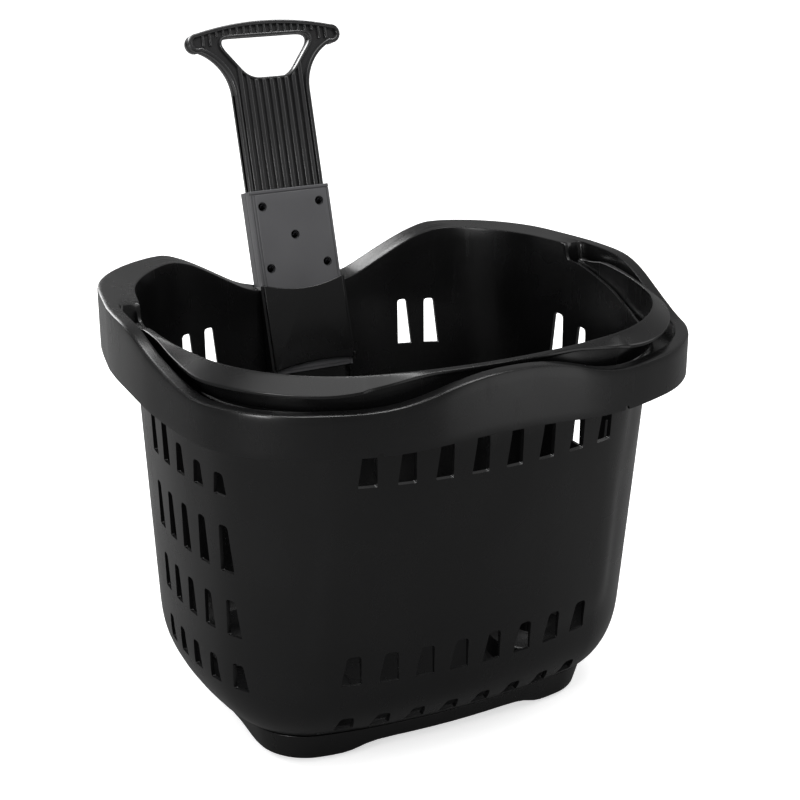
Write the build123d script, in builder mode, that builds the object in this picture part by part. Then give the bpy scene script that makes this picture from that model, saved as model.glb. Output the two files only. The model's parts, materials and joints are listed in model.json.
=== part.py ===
"""Rolling basket trolley: a slotted tub on four castors, with a carry handle and a pull handle.

Millimetres, +Z up. The pull handle stands at the back (+Y), the carry handle lies folded in the
channel inside the rim. Everything is drawn from the middle of the tub and saved with the origin
on the floor under the middle of the whole object, which the tilted pull handle makes deeper.
"""
import math
import os

from build123d import *

# ---------------------------------------------------------------- plan outlines
# A plan outline is four shallow arcs joined by four tangent corner arcs:
# half width, half depth, radius of the front and back arcs, of the side arcs, of the corners.
RIM_PLAN = (251.0, 228.0, 440.0, 440.0, 120.0)
WALL_TOP_PLAN = (224.0, 202.0, 454.0, 338.0, 144.0)
WALL_LOW_PLAN = (214.3, 165.5, 454.0, 338.0, 110.0)
FLOOR_PLAN = (176.0, 127.0, 600.0, 500.0, 60.0)
PLINTH_FOOT_PLAN = (168.0, 119.0, 592.0, 492.0, 50.0)

# ---------------------------------------------------------------- tub heights and thicknesses
WALL = 3.0
TUB_FLOOR_Z = 33.0
WALL_LOW_Z = 100.0
WALL_TOP_Z = 340.0
RIM_CEILING_Z = 430.0
FLANGE_WIDTH = 12.0
CHANNEL_FLOOR_Z = 358.0
LEDGE_FRONT_Z, LEDGE_REAR_Z = 359.0, 388.0
CHANNEL_END_Y = 50.0
RIM_FRONT_CORNER_Z = 370.0
RIM_REAR_Z = 401.0
RIM_HUMP = 23.0
RIM_DIP = 54.0
SKIRT_EDGE_Z = 333.0

# ---------------------------------------------------------------- wall slots
SLOT_PITCH = 32.4
SLOT_WIDTH = 16.6
SIDE_SLOT_WIDTH = 14.5
SIDE_SLOT_PITCH = 28.5
SIDE_SLOT_FIRST_Y = 17.0

# ---------------------------------------------------------------- plinth and castors
PLINTH_FOOT_Z = 6.0
ARCH_Z = 17.0
CASTOR_X, CASTOR_Y = 118.0, 63.0
CASTOR_TRAIL = 12.0
WHEEL_RADIUS = 20.0
HUB_RADIUS = 14.5
TYRE_WIDTH = 16.0
FORK_TOP_Z = 48.0
WELL_RADIUS = 38.0
WELL_TOP_Z = 54.0
STEM_RADIUS = 4.0
BUSH_RADIUS = 7.0
BUSH_TOP_Z = 68.0
AXLE_RADIUS = 2.5

# ---------------------------------------------------------------- carry handle
PIVOT_Y, PIVOT_Z = 32.0, 377.0
PIVOT_RADIUS = 4.0
BAIL_TOP_Z = 394.0
BAIL_BOTTOM_Z = 364.0
BAIL_GAP = 1.2
BAIL_WEB = 3.2
BAIL_LIP = 2.5
SHOULDER_LOW_Z, SHOULDER_HIGH_Z = 382.0, 386.0
EYE_RADIUS = 12.0
EYE_TOP_Z = PIVOT_Z + EYE_RADIUS
EYE_INNER_X = 223.7
EYE_WIDTH = 6.8
FAIR_START_Y, FAIR_END_Y = -4.0, 24.0
PIN_LENGTH = 19.6
RUNNING_GAP = 0.05

# ---------------------------------------------------------------- pull handle and its guide
HANDLE_TILT = 17.5
HANDLE_Y, HANDLE_Z = 210.1, 398.4
SLEEVE_HALF = 43.0
SLEEVE_DEPTH = 23.0
SLEEVE_TOP, SLEEVE_BOTTOM = 47.0, -137.0
STOP_TOP = -132.5
PLATE_HALF = 40.0
PLATE_FRONT, PLATE_BACK = -4.0, -19.0
PLATE_BOTTOM = -70.0
GUIDE_TOP, GUIDE_BOTTOM = -46.0, -132.0
GUIDE_HALF, GUIDE_BACK, GUIDE_FRONT = 45.6, -26.3, 4.0
GUIDE_GAP = 0.4
# recess in the back wall and the pocket behind it: half width, ends along the handle, depths
RECESS = (46.0, -212.0, 90.0, -26.4, 120.0)
POCKET = (49.0, -215.0, -53.0, -29.4, -10.0)
SLEEVE_SCREWS = [(-30.8, 30.8), (30.8, 30.8), (0, 0), (-30.8, -30.8), (30.8, -30.8)]
SLEEVE_SCREW_RADIUS = 1.75
GUIDE_SCREWS = [(-30, -66), (30, -66), (-30, -120), (30, -120)]
GUIDE_SCREW_RADIUS = 1.5
PLINTH_SCREWS = [(0, -117.5), (0, 117.5), (-166.5, 0), (166.5, 0)]
PLINTH_SCREW_RADIUS = 2.0

# ---------------------------------------------------------------- origin of the saved pieces
BOX_CENTRE_Y = 32.286

os.makedirs("parts", exist_ok=True)


def save(part, name):
    """Move a finished piece to the object's origin, label it and write its STEP file."""
    part = part.moved(Location((0, -BOX_CENTRE_Y, 0)))
    part.label = name
    export_step(part, f"parts/{name}.step")


def grow(plan, margin):
    """The plan outline moved outwards by margin, keeping all arcs tangent."""
    return tuple(size + margin for size in plan)


def plan_wire(plan):
    """Eight tangent arcs of a plan outline, as lines of the builder around the call."""
    half_x, half_y, r_front, r_side, r_corner = plan
    gap_y, gap_x = half_y - r_front, half_x - r_side
    span = math.hypot(gap_x, gap_y)
    reach_f, reach_s = r_front - r_corner, r_side - r_corner
    along = (reach_f**2 - reach_s**2 + span**2) / (2 * span)
    across = math.sqrt(reach_f**2 - along**2)
    centre_x = along * gap_x / span - across * gap_y / span
    centre_y = gap_y - along * gap_y / span - across * gap_x / span
    front_turn = math.atan2(centre_x, centre_y - gap_y)
    side_turn = math.atan2(centre_x - gap_x, centre_y)
    middle = (front_turn + side_turn) / 2
    top = (r_front * math.sin(front_turn), gap_y + r_front * math.cos(front_turn))
    side = (gap_x + r_side * math.sin(side_turn), r_side * math.cos(side_turn))
    bend = (centre_x + r_corner * math.sin(middle), centre_y + r_corner * math.cos(middle))
    ThreePointArc((-top[0], top[1]), (0, half_y), top)
    ThreePointArc(top, bend, side)
    ThreePointArc(side, (half_x, 0), (side[0], -side[1]))
    ThreePointArc((side[0], -side[1]), (bend[0], -bend[1]), (top[0], -top[1]))
    ThreePointArc((top[0], -top[1]), (0, -half_y), (-top[0], -top[1]))
    ThreePointArc((-top[0], -top[1]), (-bend[0], -bend[1]), (-side[0], -side[1]))
    ThreePointArc((-side[0], -side[1]), (-half_x, 0), (-side[0], side[1]))
    ThreePointArc((-side[0], side[1]), (-bend[0], bend[1]), (-top[0], top[1]))


def plan_sketch(plan, z):
    """A filled plan outline at height z."""
    with BuildSketch(Plane.XY.offset(z)) as sketch:
        with BuildLine():
            plan_wire(plan)
        make_face()
    return sketch.sketch


def prism(plan, low, high):
    """Upright solid of a plan outline between two heights."""
    with BuildPart() as block:
        add(plan_sketch(plan, low))
        extrude(amount=high - low)
    return block.part


def ring(outer, inner, low, high):
    """Upright ring between two plan outlines."""
    with BuildPart() as block:
        add(plan_sketch(outer, low))
        extrude(amount=high - low)
        add(plan_sketch(inner, low))
        extrude(amount=high - low, mode=Mode.SUBTRACT)
    return block.part


def blend(low, high, share):
    """Plan outline part of the way between two others."""
    return tuple(a + (b - a) * share for a, b in zip(low, high))


def tub_solid(margin, floor_z):
    """Tub form without its rim: curved bottom edge, then straight tapering walls."""
    rise = WALL_LOW_Z - floor_z
    with BuildPart() as form:
        for step in range(6):
            turn = math.radians(64.0) * step / 5
            share_z = math.sin(turn) / math.sin(math.radians(64.0))
            share_in = (1 - math.cos(turn)) / (1 - math.cos(math.radians(64.0)))
            plan = blend(WALL_LOW_PLAN, FLOOR_PLAN, share_in)
            add(plan_sketch(grow(plan, margin), WALL_LOW_Z - rise * share_z))
        loft()
        add(plan_sketch(grow(WALL_LOW_PLAN, margin), WALL_LOW_Z))
        add(plan_sketch(grow(WALL_TOP_PLAN, margin), WALL_TOP_Z))
        loft(ruled=True)
    return form.part


def ease(value):
    """Smooth step from 0 to 1."""
    value = min(max(value, 0.0), 1.0)
    return value * value * (3 - 2 * value)


def rim_height(x, y):
    """Height of the wavy rim: low front corners, a front hump, high back corners, a back dip."""
    level = RIM_FRONT_CORNER_Z + (RIM_REAR_Z - RIM_FRONT_CORNER_Z) * ease((y + 115) / 120)
    level -= 3 * ease(y / 190)
    hump = RIM_HUMP * ease(1 - (abs(x) - 15) / 100) * ease((-y - 120) / 40)
    dip = RIM_DIP * ease(1 - (abs(x) - 25) / 130) * ease((y - 120) / 40)
    return level + hump - dip


def skirt_height(x, y):
    """Height of the lower edge of the skirt, which follows the rim at a third of its wave."""
    return SKIRT_EDGE_Z + (rim_height(x, y) - RIM_FRONT_CORNER_Z) * 0.36


def wavy_solid(height, shift, thickness):
    """Solid that hangs by its thickness below a height field moved by shift."""
    half, count = 270.0, 37
    places = [half * (2 * i / (count - 1) - 1) for i in range(count)]
    grid = [[(x, y, height(x, y) + shift) for y in places] for x in places]
    surface = Face.make_surface_from_array_of_points(grid, tol=0.05)
    return Solid.extrude(surface, Vector(0, 0, -thickness))


def slot_row(plane, centres, width, low, high):
    """Row of wall slots: level sill, sides that lean in, rounded head."""
    lean = math.degrees(math.atan((high - low) / (width * 0.17)))
    with BuildSketch(plane) as row:
        with Locations(*[(centre, (low + high) / 2) for centre in centres]):
            Trapezoid(width, high - low, lean)
        fillet(row.vertices().group_by(Axis.Y)[-1], width * 0.26)
    return row.sketch


handle_plane = Plane(
    origin=(0, HANDLE_Y, HANDLE_Z),
    x_dir=(1, 0, 0),
    z_dir=(0, -math.cos(math.radians(HANDLE_TILT)), math.sin(math.radians(HANDLE_TILT))),
)


def handle_box(half, bottom, top, back, front):
    """Box in the frame of the pull handle: half width, ends along it, depth range."""
    with BuildPart() as block:
        with BuildSketch(handle_plane.offset(back)):
            with Locations((0, (bottom + top) / 2)):
                Rectangle(2 * half, top - bottom)
        extrude(amount=front - back)
    return block.part


# ================================================================ tub
front_plane = Plane.XZ.offset(80)
back_plane = Plane.XZ.offset(-80)
side_planes = (Plane.YZ.offset(120), Plane.YZ.offset(-120))
wide_row = [SLOT_PITCH * (i - 3.5) for i in range(8)]
side_row = [SIDE_SLOT_FIRST_Y - SIDE_SLOT_PITCH * i for i in range(5)]
FRONT_ROWS = (
    (0.99, SLOT_WIDTH - 1, 295.4, 337),
    (1.0, SLOT_WIDTH + 1, 98.8, 130),
    (1.0, SLOT_WIDTH + 1, 46, 62),
)
BACK_ROWS = (
    ([-147, -113, 113, 147], SLOT_WIDTH + 2, 277, 318),
)
SIDE_ROWS = (
    (side_row[:2], 274.4, 334),
    (side_row[2:3], 274.4, 303),
    (side_row[3:4], 274.4, 297),
    (side_row[4:5], 274.4, 295),
    (side_row, 203, 247),
    (side_row, 141.2, 176.2),
    (side_row, 87.9, 114),
)
wall_inside = grow(WALL_TOP_PLAN, -WALL)
rim_top = wavy_solid(rim_height, 0.0, 420.0)
flange_underside = wavy_solid(rim_height, -WALL, 200.0)
skirt_cut = wavy_solid(skirt_height, 0.0, 120.0)

with BuildPart() as rim_hollow:
    add(ring(grow(RIM_PLAN, -WALL), WALL_TOP_PLAN, 295, RIM_CEILING_Z))
    add(flange_underside, mode=Mode.INTERSECT)

with BuildPart() as trough:
    add(ring(grow(RIM_PLAN, WALL - FLANGE_WIDTH), WALL_TOP_PLAN, CHANNEL_FLOOR_Z - WALL, RIM_CEILING_Z))
    add(rim_top, mode=Mode.INTERSECT)
    with BuildSketch(Plane.XY.offset(300)):
        with Locations((0, CHANNEL_END_Y + WALL - 200)):
            Rectangle(600, 400)
    extrude(amount=200, mode=Mode.INTERSECT)

with BuildPart() as channel:
    add(ring(grow(RIM_PLAN, -FLANGE_WIDTH), WALL_TOP_PLAN, CHANNEL_FLOOR_Z, RIM_CEILING_Z))
    with BuildSketch(Plane.XY.offset(300)):
        with Locations((0, CHANNEL_END_Y - 200)):
            Rectangle(600, 400)
    extrude(amount=200, mode=Mode.INTERSECT)

# the inner wall of the channel is low in front and steps up beside the hinge pins
with BuildPart() as wall_crop:
    with BuildSketch(Plane.YZ.offset(-300)):
        with BuildLine():
            Polyline(
                (12, LEDGE_REAR_Z), (CHANNEL_END_Y, LEDGE_REAR_Z), (CHANNEL_END_Y, 450), (-260, 450),
                (-260, LEDGE_FRONT_Z), (-110, LEDGE_FRONT_Z),
            )
            Spline((-110, LEDGE_FRONT_Z), (-25, 367), (12, LEDGE_REAR_Z), tangents=((1, 0), (1, 0)))
        make_face()
    extrude(amount=600)
    add(prism(grow(WALL_TOP_PLAN, 0.01), 340, 460), mode=Mode.INTERSECT)

with BuildPart() as skirt_trim:
    add(ring(grow(RIM_PLAN, 5), grow(WALL_TOP_PLAN, 0.5), 250, 420))
    add(skirt_cut, mode=Mode.INTERSECT)

with BuildPart() as rim:
    add(ring(RIM_PLAN, wall_inside, 320, RIM_CEILING_Z))
    add(rim_top, mode=Mode.INTERSECT)
    add(rim_hollow.part, mode=Mode.SUBTRACT)
    add(trough.part)
    add(channel.part, mode=Mode.SUBTRACT)
    add(skirt_trim.part, mode=Mode.SUBTRACT)
    add(wall_crop.part, mode=Mode.SUBTRACT)
    add(prism(grow(WALL_TOP_PLAN, 0.5), 310, WALL_TOP_Z), mode=Mode.SUBTRACT)
    add(handle_box(*RECESS), mode=Mode.SUBTRACT)

with BuildPart() as slots:
    for x_scale, width, low, high in FRONT_ROWS:
        extrude(slot_row(front_plane, [x * x_scale for x in wide_row], width, low, high), amount=170)
    for centres, width, low, high in BACK_ROWS:
        extrude(slot_row(back_plane, centres, width, low, high), amount=-170)
    # side walls: five columns; the first row shortens towards the front
    for plane, reach in zip(side_planes, (150, -150)):
        for columns, low, high in SIDE_ROWS:
            extrude(slot_row(plane, columns, SIDE_SLOT_WIDTH, low, high), amount=reach)

with BuildPart() as tub:
    add(tub_solid(0.0, TUB_FLOOR_Z))
    add(handle_box(*POCKET))
    add(tub_solid(-WALL, TUB_FLOOR_Z + WALL), mode=Mode.SUBTRACT)
    add(handle_box(*RECESS), mode=Mode.SUBTRACT)
    add(slots.part, mode=Mode.SUBTRACT)
    # wells over the castors, each with a boss for the stem bush
    for x in (-CASTOR_X, CASTOR_X):
        for y in (-CASTOR_Y, CASTOR_Y):
            with BuildSketch(Plane.XY.offset(TUB_FLOOR_Z)):
                with Locations((x, y)):
                    Circle(WELL_RADIUS + WALL)
            extrude(amount=WELL_TOP_Z - TUB_FLOOR_Z)
            with BuildSketch(Plane.XY.offset(WELL_TOP_Z - WALL)):
                with Locations((x, y)):
                    Circle(BUSH_RADIUS + WALL)
            extrude(amount=BUSH_TOP_Z + 1 - WELL_TOP_Z + WALL)
            with BuildSketch(Plane.XY.offset(TUB_FLOOR_Z - 1)):
                with Locations((x, y)):
                    Circle(WELL_RADIUS)
            extrude(amount=WELL_TOP_Z - WALL - TUB_FLOOR_Z + 1, mode=Mode.SUBTRACT)
            with BuildSketch(Plane.XY.offset(WELL_TOP_Z - WALL - 1)):
                with Locations((x, y)):
                    Circle(BUSH_RADIUS)
            extrude(amount=BUSH_TOP_Z - WELL_TOP_Z + WALL + 1, mode=Mode.SUBTRACT)
    add(rim.part)
    # holes for the hinge pins of the carry handle
    with BuildSketch(Plane.YZ.offset(-241)):
        with Locations((PIVOT_Y, PIVOT_Z)):
            Circle(PIVOT_RADIUS)
    extrude(amount=482, mode=Mode.SUBTRACT)
    # holes for the plinth screws and the guide screws
    for x, y in PLINTH_SCREWS:
        with BuildSketch(Plane.XY.offset(TUB_FLOOR_Z - 1)):
            with Locations((x, y)):
                Circle(PLINTH_SCREW_RADIUS)
        extrude(amount=WALL + 1, mode=Mode.SUBTRACT)
    with BuildSketch(handle_plane.offset(-31)):
        with Locations(*GUIDE_SCREWS):
            Circle(GUIDE_SCREW_RADIUS)
    extrude(amount=5, mode=Mode.SUBTRACT)
save(tub.part, "basket_tub")

# ================================================================ plinth under the tub
with BuildPart() as plinth:
    add(plan_sketch(PLINTH_FOOT_PLAN, PLINTH_FOOT_Z))
    add(plan_sketch(FLOOR_PLAN, TUB_FLOOR_Z))
    loft(ruled=True)
    add(plan_sketch(grow(PLINTH_FOOT_PLAN, -WALL), PLINTH_FOOT_Z - 0.01))
    add(plan_sketch(grow(FLOOR_PLAN, -WALL), TUB_FLOOR_Z + 0.01))
    loft(ruled=True, mode=Mode.SUBTRACT)
    add(ring(grow(FLOOR_PLAN, -WALL - 0.5), grow(FLOOR_PLAN, -13.5), TUB_FLOOR_Z - WALL, TUB_FLOOR_Z))
    for x, y in PLINTH_SCREWS:
        with BuildSketch(Plane.XY.offset(TUB_FLOOR_Z - WALL - 1)):
            with Locations((x, y)):
                Circle(PLINTH_SCREW_RADIUS)
        extrude(amount=WALL + 2, mode=Mode.SUBTRACT)
    # low arches between the wheel housings
    for plane, half in ((Plane.XZ, 88.0), (Plane.YZ, 44.0)):
        with BuildSketch(plane):
            with BuildLine():
                Spline((-half - 12, PLINTH_FOOT_Z), (-half + 12, ARCH_Z), tangents=((1, 0), (1, 0)))
                Line((-half + 12, ARCH_Z), (half - 12, ARCH_Z))
                Spline((half - 12, ARCH_Z), (half + 12, PLINTH_FOOT_Z), tangents=((1, 0), (1, 0)))
                Polyline(
                    (half + 12, PLINTH_FOOT_Z), (half + 12, 0),
                    (-half - 12, 0), (-half - 12, PLINTH_FOOT_Z),
                )
            make_face()
        extrude(amount=200, both=True, mode=Mode.SUBTRACT)
save(plinth.part, "base_plinth")


def screw_group(plane, places, head_radius, head_height, shank_radius, shank_length):
    """Identical pan-head screws, heads towards the plane's normal, as separate solids."""
    with BuildPart() as group:
        with BuildSketch(plane.offset(-shank_length)):
            with Locations(*places):
                Circle(shank_radius)
        extrude(amount=shank_length)
        with BuildSketch(plane):
            with Locations(*places):
                Circle(head_radius)
        extrude(amount=head_height)
    return group.part


under_plinth = Plane(origin=(0, 0, TUB_FLOOR_Z - WALL), x_dir=(1, 0, 0), z_dir=(0, 0, -1))
plinth_screws = screw_group(
    under_plinth, [(x, -y) for x, y in PLINTH_SCREWS], 4.0, 2.5, PLINTH_SCREW_RADIUS, 6.0,
)
save(plinth_screws, "plinth_screws")

# ================================================================ castors
for side, x in (("left", -CASTOR_X), ("right", CASTOR_X)):
    for end, y in (("front", -CASTOR_Y), ("rear", CASTOR_Y)):
        name = f"{end}_{side}"
        axle_y = y - CASTOR_TRAIL
        with BuildPart() as bush:
            with BuildSketch(Plane.XY.offset(WELL_TOP_Z - WALL)):
                with Locations((x, y)):
                    Circle(BUSH_RADIUS)
                    Circle(STEM_RADIUS + RUNNING_GAP, mode=Mode.SUBTRACT)
            extrude(amount=BUSH_TOP_Z - WELL_TOP_Z + WALL)
        save(bush.part, f"stem_bush_{name}")
        with BuildPart() as stem:
            with BuildSketch(Plane.XY.offset(FORK_TOP_Z - 4)):
                with Locations((x, y)):
                    Circle(STEM_RADIUS)
            extrude(amount=BUSH_TOP_Z - FORK_TOP_Z + 2)
            chamfer(stem.edges().sort_by(Axis.Z)[-1], 1)
        save(stem.part, f"castor_stem_{name}")
        with BuildPart() as fork:
            with BuildSketch(Plane.XY.offset(FORK_TOP_Z - 4)):
                with Locations((x, y)):
                    Circle(13)
                    Circle(STEM_RADIUS, mode=Mode.SUBTRACT)
            extrude(amount=4)
            for face_x in (x - TYRE_WIDTH / 2 - 3.8, x + TYRE_WIDTH / 2 + 1.2):
                with BuildSketch(Plane.YZ.offset(face_x)):
                    with Locations((y, FORK_TOP_Z - 4.5)):
                        Rectangle(16, 1)
                    with Locations((axle_y, WHEEL_RADIUS)):
                        Circle(5.5)
                    make_hull()
                    with Locations((axle_y, WHEEL_RADIUS)):
                        Circle(AXLE_RADIUS, mode=Mode.SUBTRACT)
                extrude(amount=2.6)
            with BuildSketch(Plane.XY.offset(FORK_TOP_Z - 5)):
                with Locations((x, y)):
                    Rectangle(TYRE_WIDTH + 7.6, 16)
                    Circle(STEM_RADIUS, mode=Mode.SUBTRACT)
            extrude(amount=1)
        save(fork.part, f"castor_fork_{name}")
        with BuildPart() as axle:
            with BuildSketch(Plane.YZ.offset(x - TYRE_WIDTH / 2 - 4.5)):
                with Locations((axle_y, WHEEL_RADIUS)):
                    Circle(AXLE_RADIUS)
            extrude(amount=TYRE_WIDTH + 9)
        save(axle.part, f"castor_axle_{name}")
        with BuildPart() as hub:
            with BuildSketch(Plane.YZ.offset(x - TYRE_WIDTH / 2 + 0.5)):
                with Locations((axle_y, WHEEL_RADIUS)):
                    Circle(HUB_RADIUS)
                    Circle(AXLE_RADIUS + RUNNING_GAP, mode=Mode.SUBTRACT)
            extrude(amount=TYRE_WIDTH - 1)
            for hub_x in (x - TYRE_WIDTH / 2 + 0.5, x + TYRE_WIDTH / 2 - 3.5):
                with BuildSketch(Plane.YZ.offset(hub_x)):
                    with Locations((axle_y, WHEEL_RADIUS)):
                        Circle(12)
                        Circle(6, mode=Mode.SUBTRACT)
                extrude(amount=3, mode=Mode.SUBTRACT)
        save(hub.part, f"wheel_hub_{name}")
        with BuildPart() as tyre:
            with BuildSketch(Plane.YZ.offset(x - TYRE_WIDTH / 2)):
                with Locations((axle_y, WHEEL_RADIUS)):
                    Circle(WHEEL_RADIUS)
                    Circle(HUB_RADIUS, mode=Mode.SUBTRACT)
            extrude(amount=TYRE_WIDTH)
            fillet(tyre.edges().filter_by(GeomType.CIRCLE).sort_by(SortBy.RADIUS)[-2:], 3)
        save(tyre.part, f"wheel_tyre_{name}")

# ================================================================ carry handle in the rim channel
bail_inner = grow(WALL_TOP_PLAN, BAIL_GAP)
with BuildPart() as shoulders:
    add(ring(grow(RIM_PLAN, -FLANGE_WIDTH - 1.5), bail_inner, SHOULDER_LOW_Z, SHOULDER_HIGH_Z))
    with BuildSketch(Plane.XY.offset(380)):
        with Locations((-182, -150), (182, -150)):
            Circle(72)
    extrude(amount=8, mode=Mode.INTERSECT)

with BuildPart() as bail:
    add(ring(grow(bail_inner, BAIL_WEB), bail_inner, BAIL_BOTTOM_Z, BAIL_TOP_Z))
    add(ring(grow(bail_inner, BAIL_WEB + BAIL_LIP), bail_inner, BAIL_TOP_Z - WALL, BAIL_TOP_Z))
    add(shoulders.part)
    with BuildSketch(Plane.XY.offset(350)):
        with Locations((0, PIVOT_Y - 250)):
            Rectangle(600, 500)
    extrude(amount=60, mode=Mode.INTERSECT)
    for face_x in (-EYE_INNER_X - EYE_WIDTH, EYE_INNER_X):
        with BuildSketch(Plane.YZ.offset(face_x)):
            with Locations((PIVOT_Y, PIVOT_Z)):
                Circle(EYE_RADIUS)
        extrude(amount=EYE_WIDTH)
    # fair the arm into its round end
    with BuildSketch(Plane.YZ.offset(-300)):
        with BuildLine():
            Polyline(
                (FAIR_END_Y, EYE_TOP_Z), (PIVOT_Y + 20, EYE_TOP_Z), (PIVOT_Y + 20, 420),
                (FAIR_START_Y, 420), (FAIR_START_Y, BAIL_TOP_Z),
            )
            Spline((FAIR_START_Y, BAIL_TOP_Z), (FAIR_END_Y, EYE_TOP_Z), tangents=((1, 0), (1, 0)))
        make_face()
    extrude(amount=600, mode=Mode.SUBTRACT)
    with BuildSketch(Plane.YZ.offset(-300)):
        with Locations((PIVOT_Y, PIVOT_Z)):
            Circle(PIVOT_RADIUS + RUNNING_GAP)
    extrude(amount=600, mode=Mode.SUBTRACT)
    add(prism(grow(bail_inner, 0.0), 350, 410), mode=Mode.SUBTRACT)
save(bail.part, "carry_handle")

with BuildPart() as pins:
    for face_x in (-240.5, 220.9):
        with BuildSketch(Plane.YZ.offset(face_x)):
            with Locations((PIVOT_Y, PIVOT_Z)):
                Circle(PIVOT_RADIUS)
        extrude(amount=PIN_LENGTH)
save(pins.part, "carry_handle_pins")

# ================================================================ guide for the pull handle
with BuildPart() as guide:
    add(handle_box(GUIDE_HALF, GUIDE_BOTTOM, GUIDE_TOP, GUIDE_BACK, GUIDE_FRONT))
    add(
        handle_box(
            SLEEVE_HALF + GUIDE_GAP, GUIDE_BOTTOM - 1, GUIDE_TOP + 1, -SLEEVE_DEPTH - GUIDE_GAP, GUIDE_GAP,
        ),
        mode=Mode.SUBTRACT,
    )
    with BuildSketch(handle_plane.offset(-27)):
        with Locations(*GUIDE_SCREWS):
            Circle(GUIDE_SCREW_RADIUS)
    extrude(amount=2.6, mode=Mode.SUBTRACT)
save(guide.part, "handle_guide")

behind_guide = Plane(
    origin=handle_plane.offset(-29.4).origin, x_dir=(-1, 0, 0), z_dir=-handle_plane.z_dir,
)
guide_screws = screw_group(
    behind_guide, [(-x, y) for x, y in GUIDE_SCREWS], 3.5, 1.8, GUIDE_SCREW_RADIUS, 5.0,
)
save(guide_screws, "guide_screws")

# ================================================================ pull handle: plate with grip, sleeve
with BuildPart() as plate:
    with BuildSketch(handle_plane.offset(PLATE_BACK)):
        with BuildLine():
            Line((-PLATE_HALF, PLATE_BOTTOM), (PLATE_HALF, PLATE_BOTTOM))
            Line((PLATE_HALF, PLATE_BOTTOM), (PLATE_HALF, 146))
            ThreePointArc((PLATE_HALF, 146), (47.5, 170), (70, 189))
            ThreePointArc((70, 189), (81.5, 197.5), (72, 205))
            ThreePointArc((72, 205), (0, 214), (-72, 205))
            ThreePointArc((-72, 205), (-81.5, 197.5), (-70, 189))
            ThreePointArc((-70, 189), (-47.5, 170), (-PLATE_HALF, 146))
            Line((-PLATE_HALF, 146), (-PLATE_HALF, PLATE_BOTTOM))
        make_face()
    extrude(amount=PLATE_FRONT - PLATE_BACK)
    with BuildSketch(handle_plane.offset(PLATE_BACK - 1)) as opening:
        Polygon((-20, 160), (20, 160), (51, 198.5), (-51, 198.5), align=None)
        fillet(opening.vertices(), 7)
    extrude(amount=PLATE_FRONT - PLATE_BACK + 2, mode=Mode.SUBTRACT)
    # grooves leave nine raised ribs on each face
    for offset, top in ((4, 152), (12, 152), (20, 155), (28, 163), (36, 150)):
        for x in (-offset, offset):
            for low in (PLATE_FRONT - 4, PLATE_BACK):
                with BuildSketch(handle_plane.offset(low)):
                    with Locations((x, (top - 40) / 2)):
                        Rectangle(4.2, top + 40)
                extrude(amount=4, mode=Mode.SUBTRACT)
    with BuildSketch(handle_plane.offset(PLATE_BACK - 1)):
        with Locations(*SLEEVE_SCREWS):
            Circle(SLEEVE_SCREW_RADIUS)
    extrude(amount=PLATE_FRONT - PLATE_BACK + 2, mode=Mode.SUBTRACT)
save(plate.part, "pull_handle")

SPLIT = -SLEEVE_DEPTH / 2
with BuildPart() as sleeve_front:
    add(handle_box(SLEEVE_HALF, SLEEVE_BOTTOM, SLEEVE_TOP, SPLIT, 0))
    add(handle_box(PLATE_HALF + 0.05, PLATE_BOTTOM - 0.05, SLEEVE_TOP + 1, SPLIT - 1, PLATE_FRONT + 0.05),
        mode=Mode.SUBTRACT)
    add(
        handle_box(PLATE_HALF, SLEEVE_BOTTOM + 4, PLATE_BOTTOM - 4, SPLIT - 1, PLATE_FRONT),
        mode=Mode.SUBTRACT,
    )
    with BuildSketch(handle_plane.offset(PLATE_FRONT - 1)):
        with Locations(*SLEEVE_SCREWS):
            Circle(SLEEVE_SCREW_RADIUS)
    extrude(amount=6, mode=Mode.SUBTRACT)
    with BuildSketch(handle_plane.offset(-2)):
        with Locations(*SLEEVE_SCREWS):
            Circle(4.6)
    extrude(amount=3, mode=Mode.SUBTRACT)
save(sleeve_front.part, "sleeve_front")

with BuildPart() as sleeve_rear:
    add(handle_box(SLEEVE_HALF, SLEEVE_BOTTOM, SLEEVE_TOP, -SLEEVE_DEPTH, SPLIT))
    add(handle_box(45, SLEEVE_BOTTOM, STOP_TOP, -SLEEVE_DEPTH, SPLIT))
    add(handle_box(PLATE_HALF + 0.05, PLATE_BOTTOM - 0.05, SLEEVE_TOP + 1, PLATE_BACK - 0.05, SPLIT + 1),
        mode=Mode.SUBTRACT)
    add(
        handle_box(PLATE_HALF, SLEEVE_BOTTOM + 4, PLATE_BOTTOM - 4, PLATE_BACK, SPLIT + 1),
        mode=Mode.SUBTRACT,
    )
    with BuildSketch(handle_plane.offset(-22)):
        with Locations(*SLEEVE_SCREWS):
            Circle(SLEEVE_SCREW_RADIUS)
    extrude(amount=4, mode=Mode.SUBTRACT)
save(sleeve_rear.part, "sleeve_rear")

sleeve_screws = screw_group(handle_plane.offset(-2), SLEEVE_SCREWS, 4.0, 1.8, SLEEVE_SCREW_RADIUS, 20.0)
save(sleeve_screws, "sleeve_screws")
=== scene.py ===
"""Finished look of the rolling basket trolley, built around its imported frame.

Sizes in the dataclasses are millimetres, measured from the middle of the tub on the floor. They
become metres of the shared frame in one place, when a mesh is made.
"""
import json
import logging
import math
from dataclasses import dataclass
from enum import Enum
from typing import Callable, Iterable, Sequence

import bmesh
import bpy
from mathutils import Matrix, Vector


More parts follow.
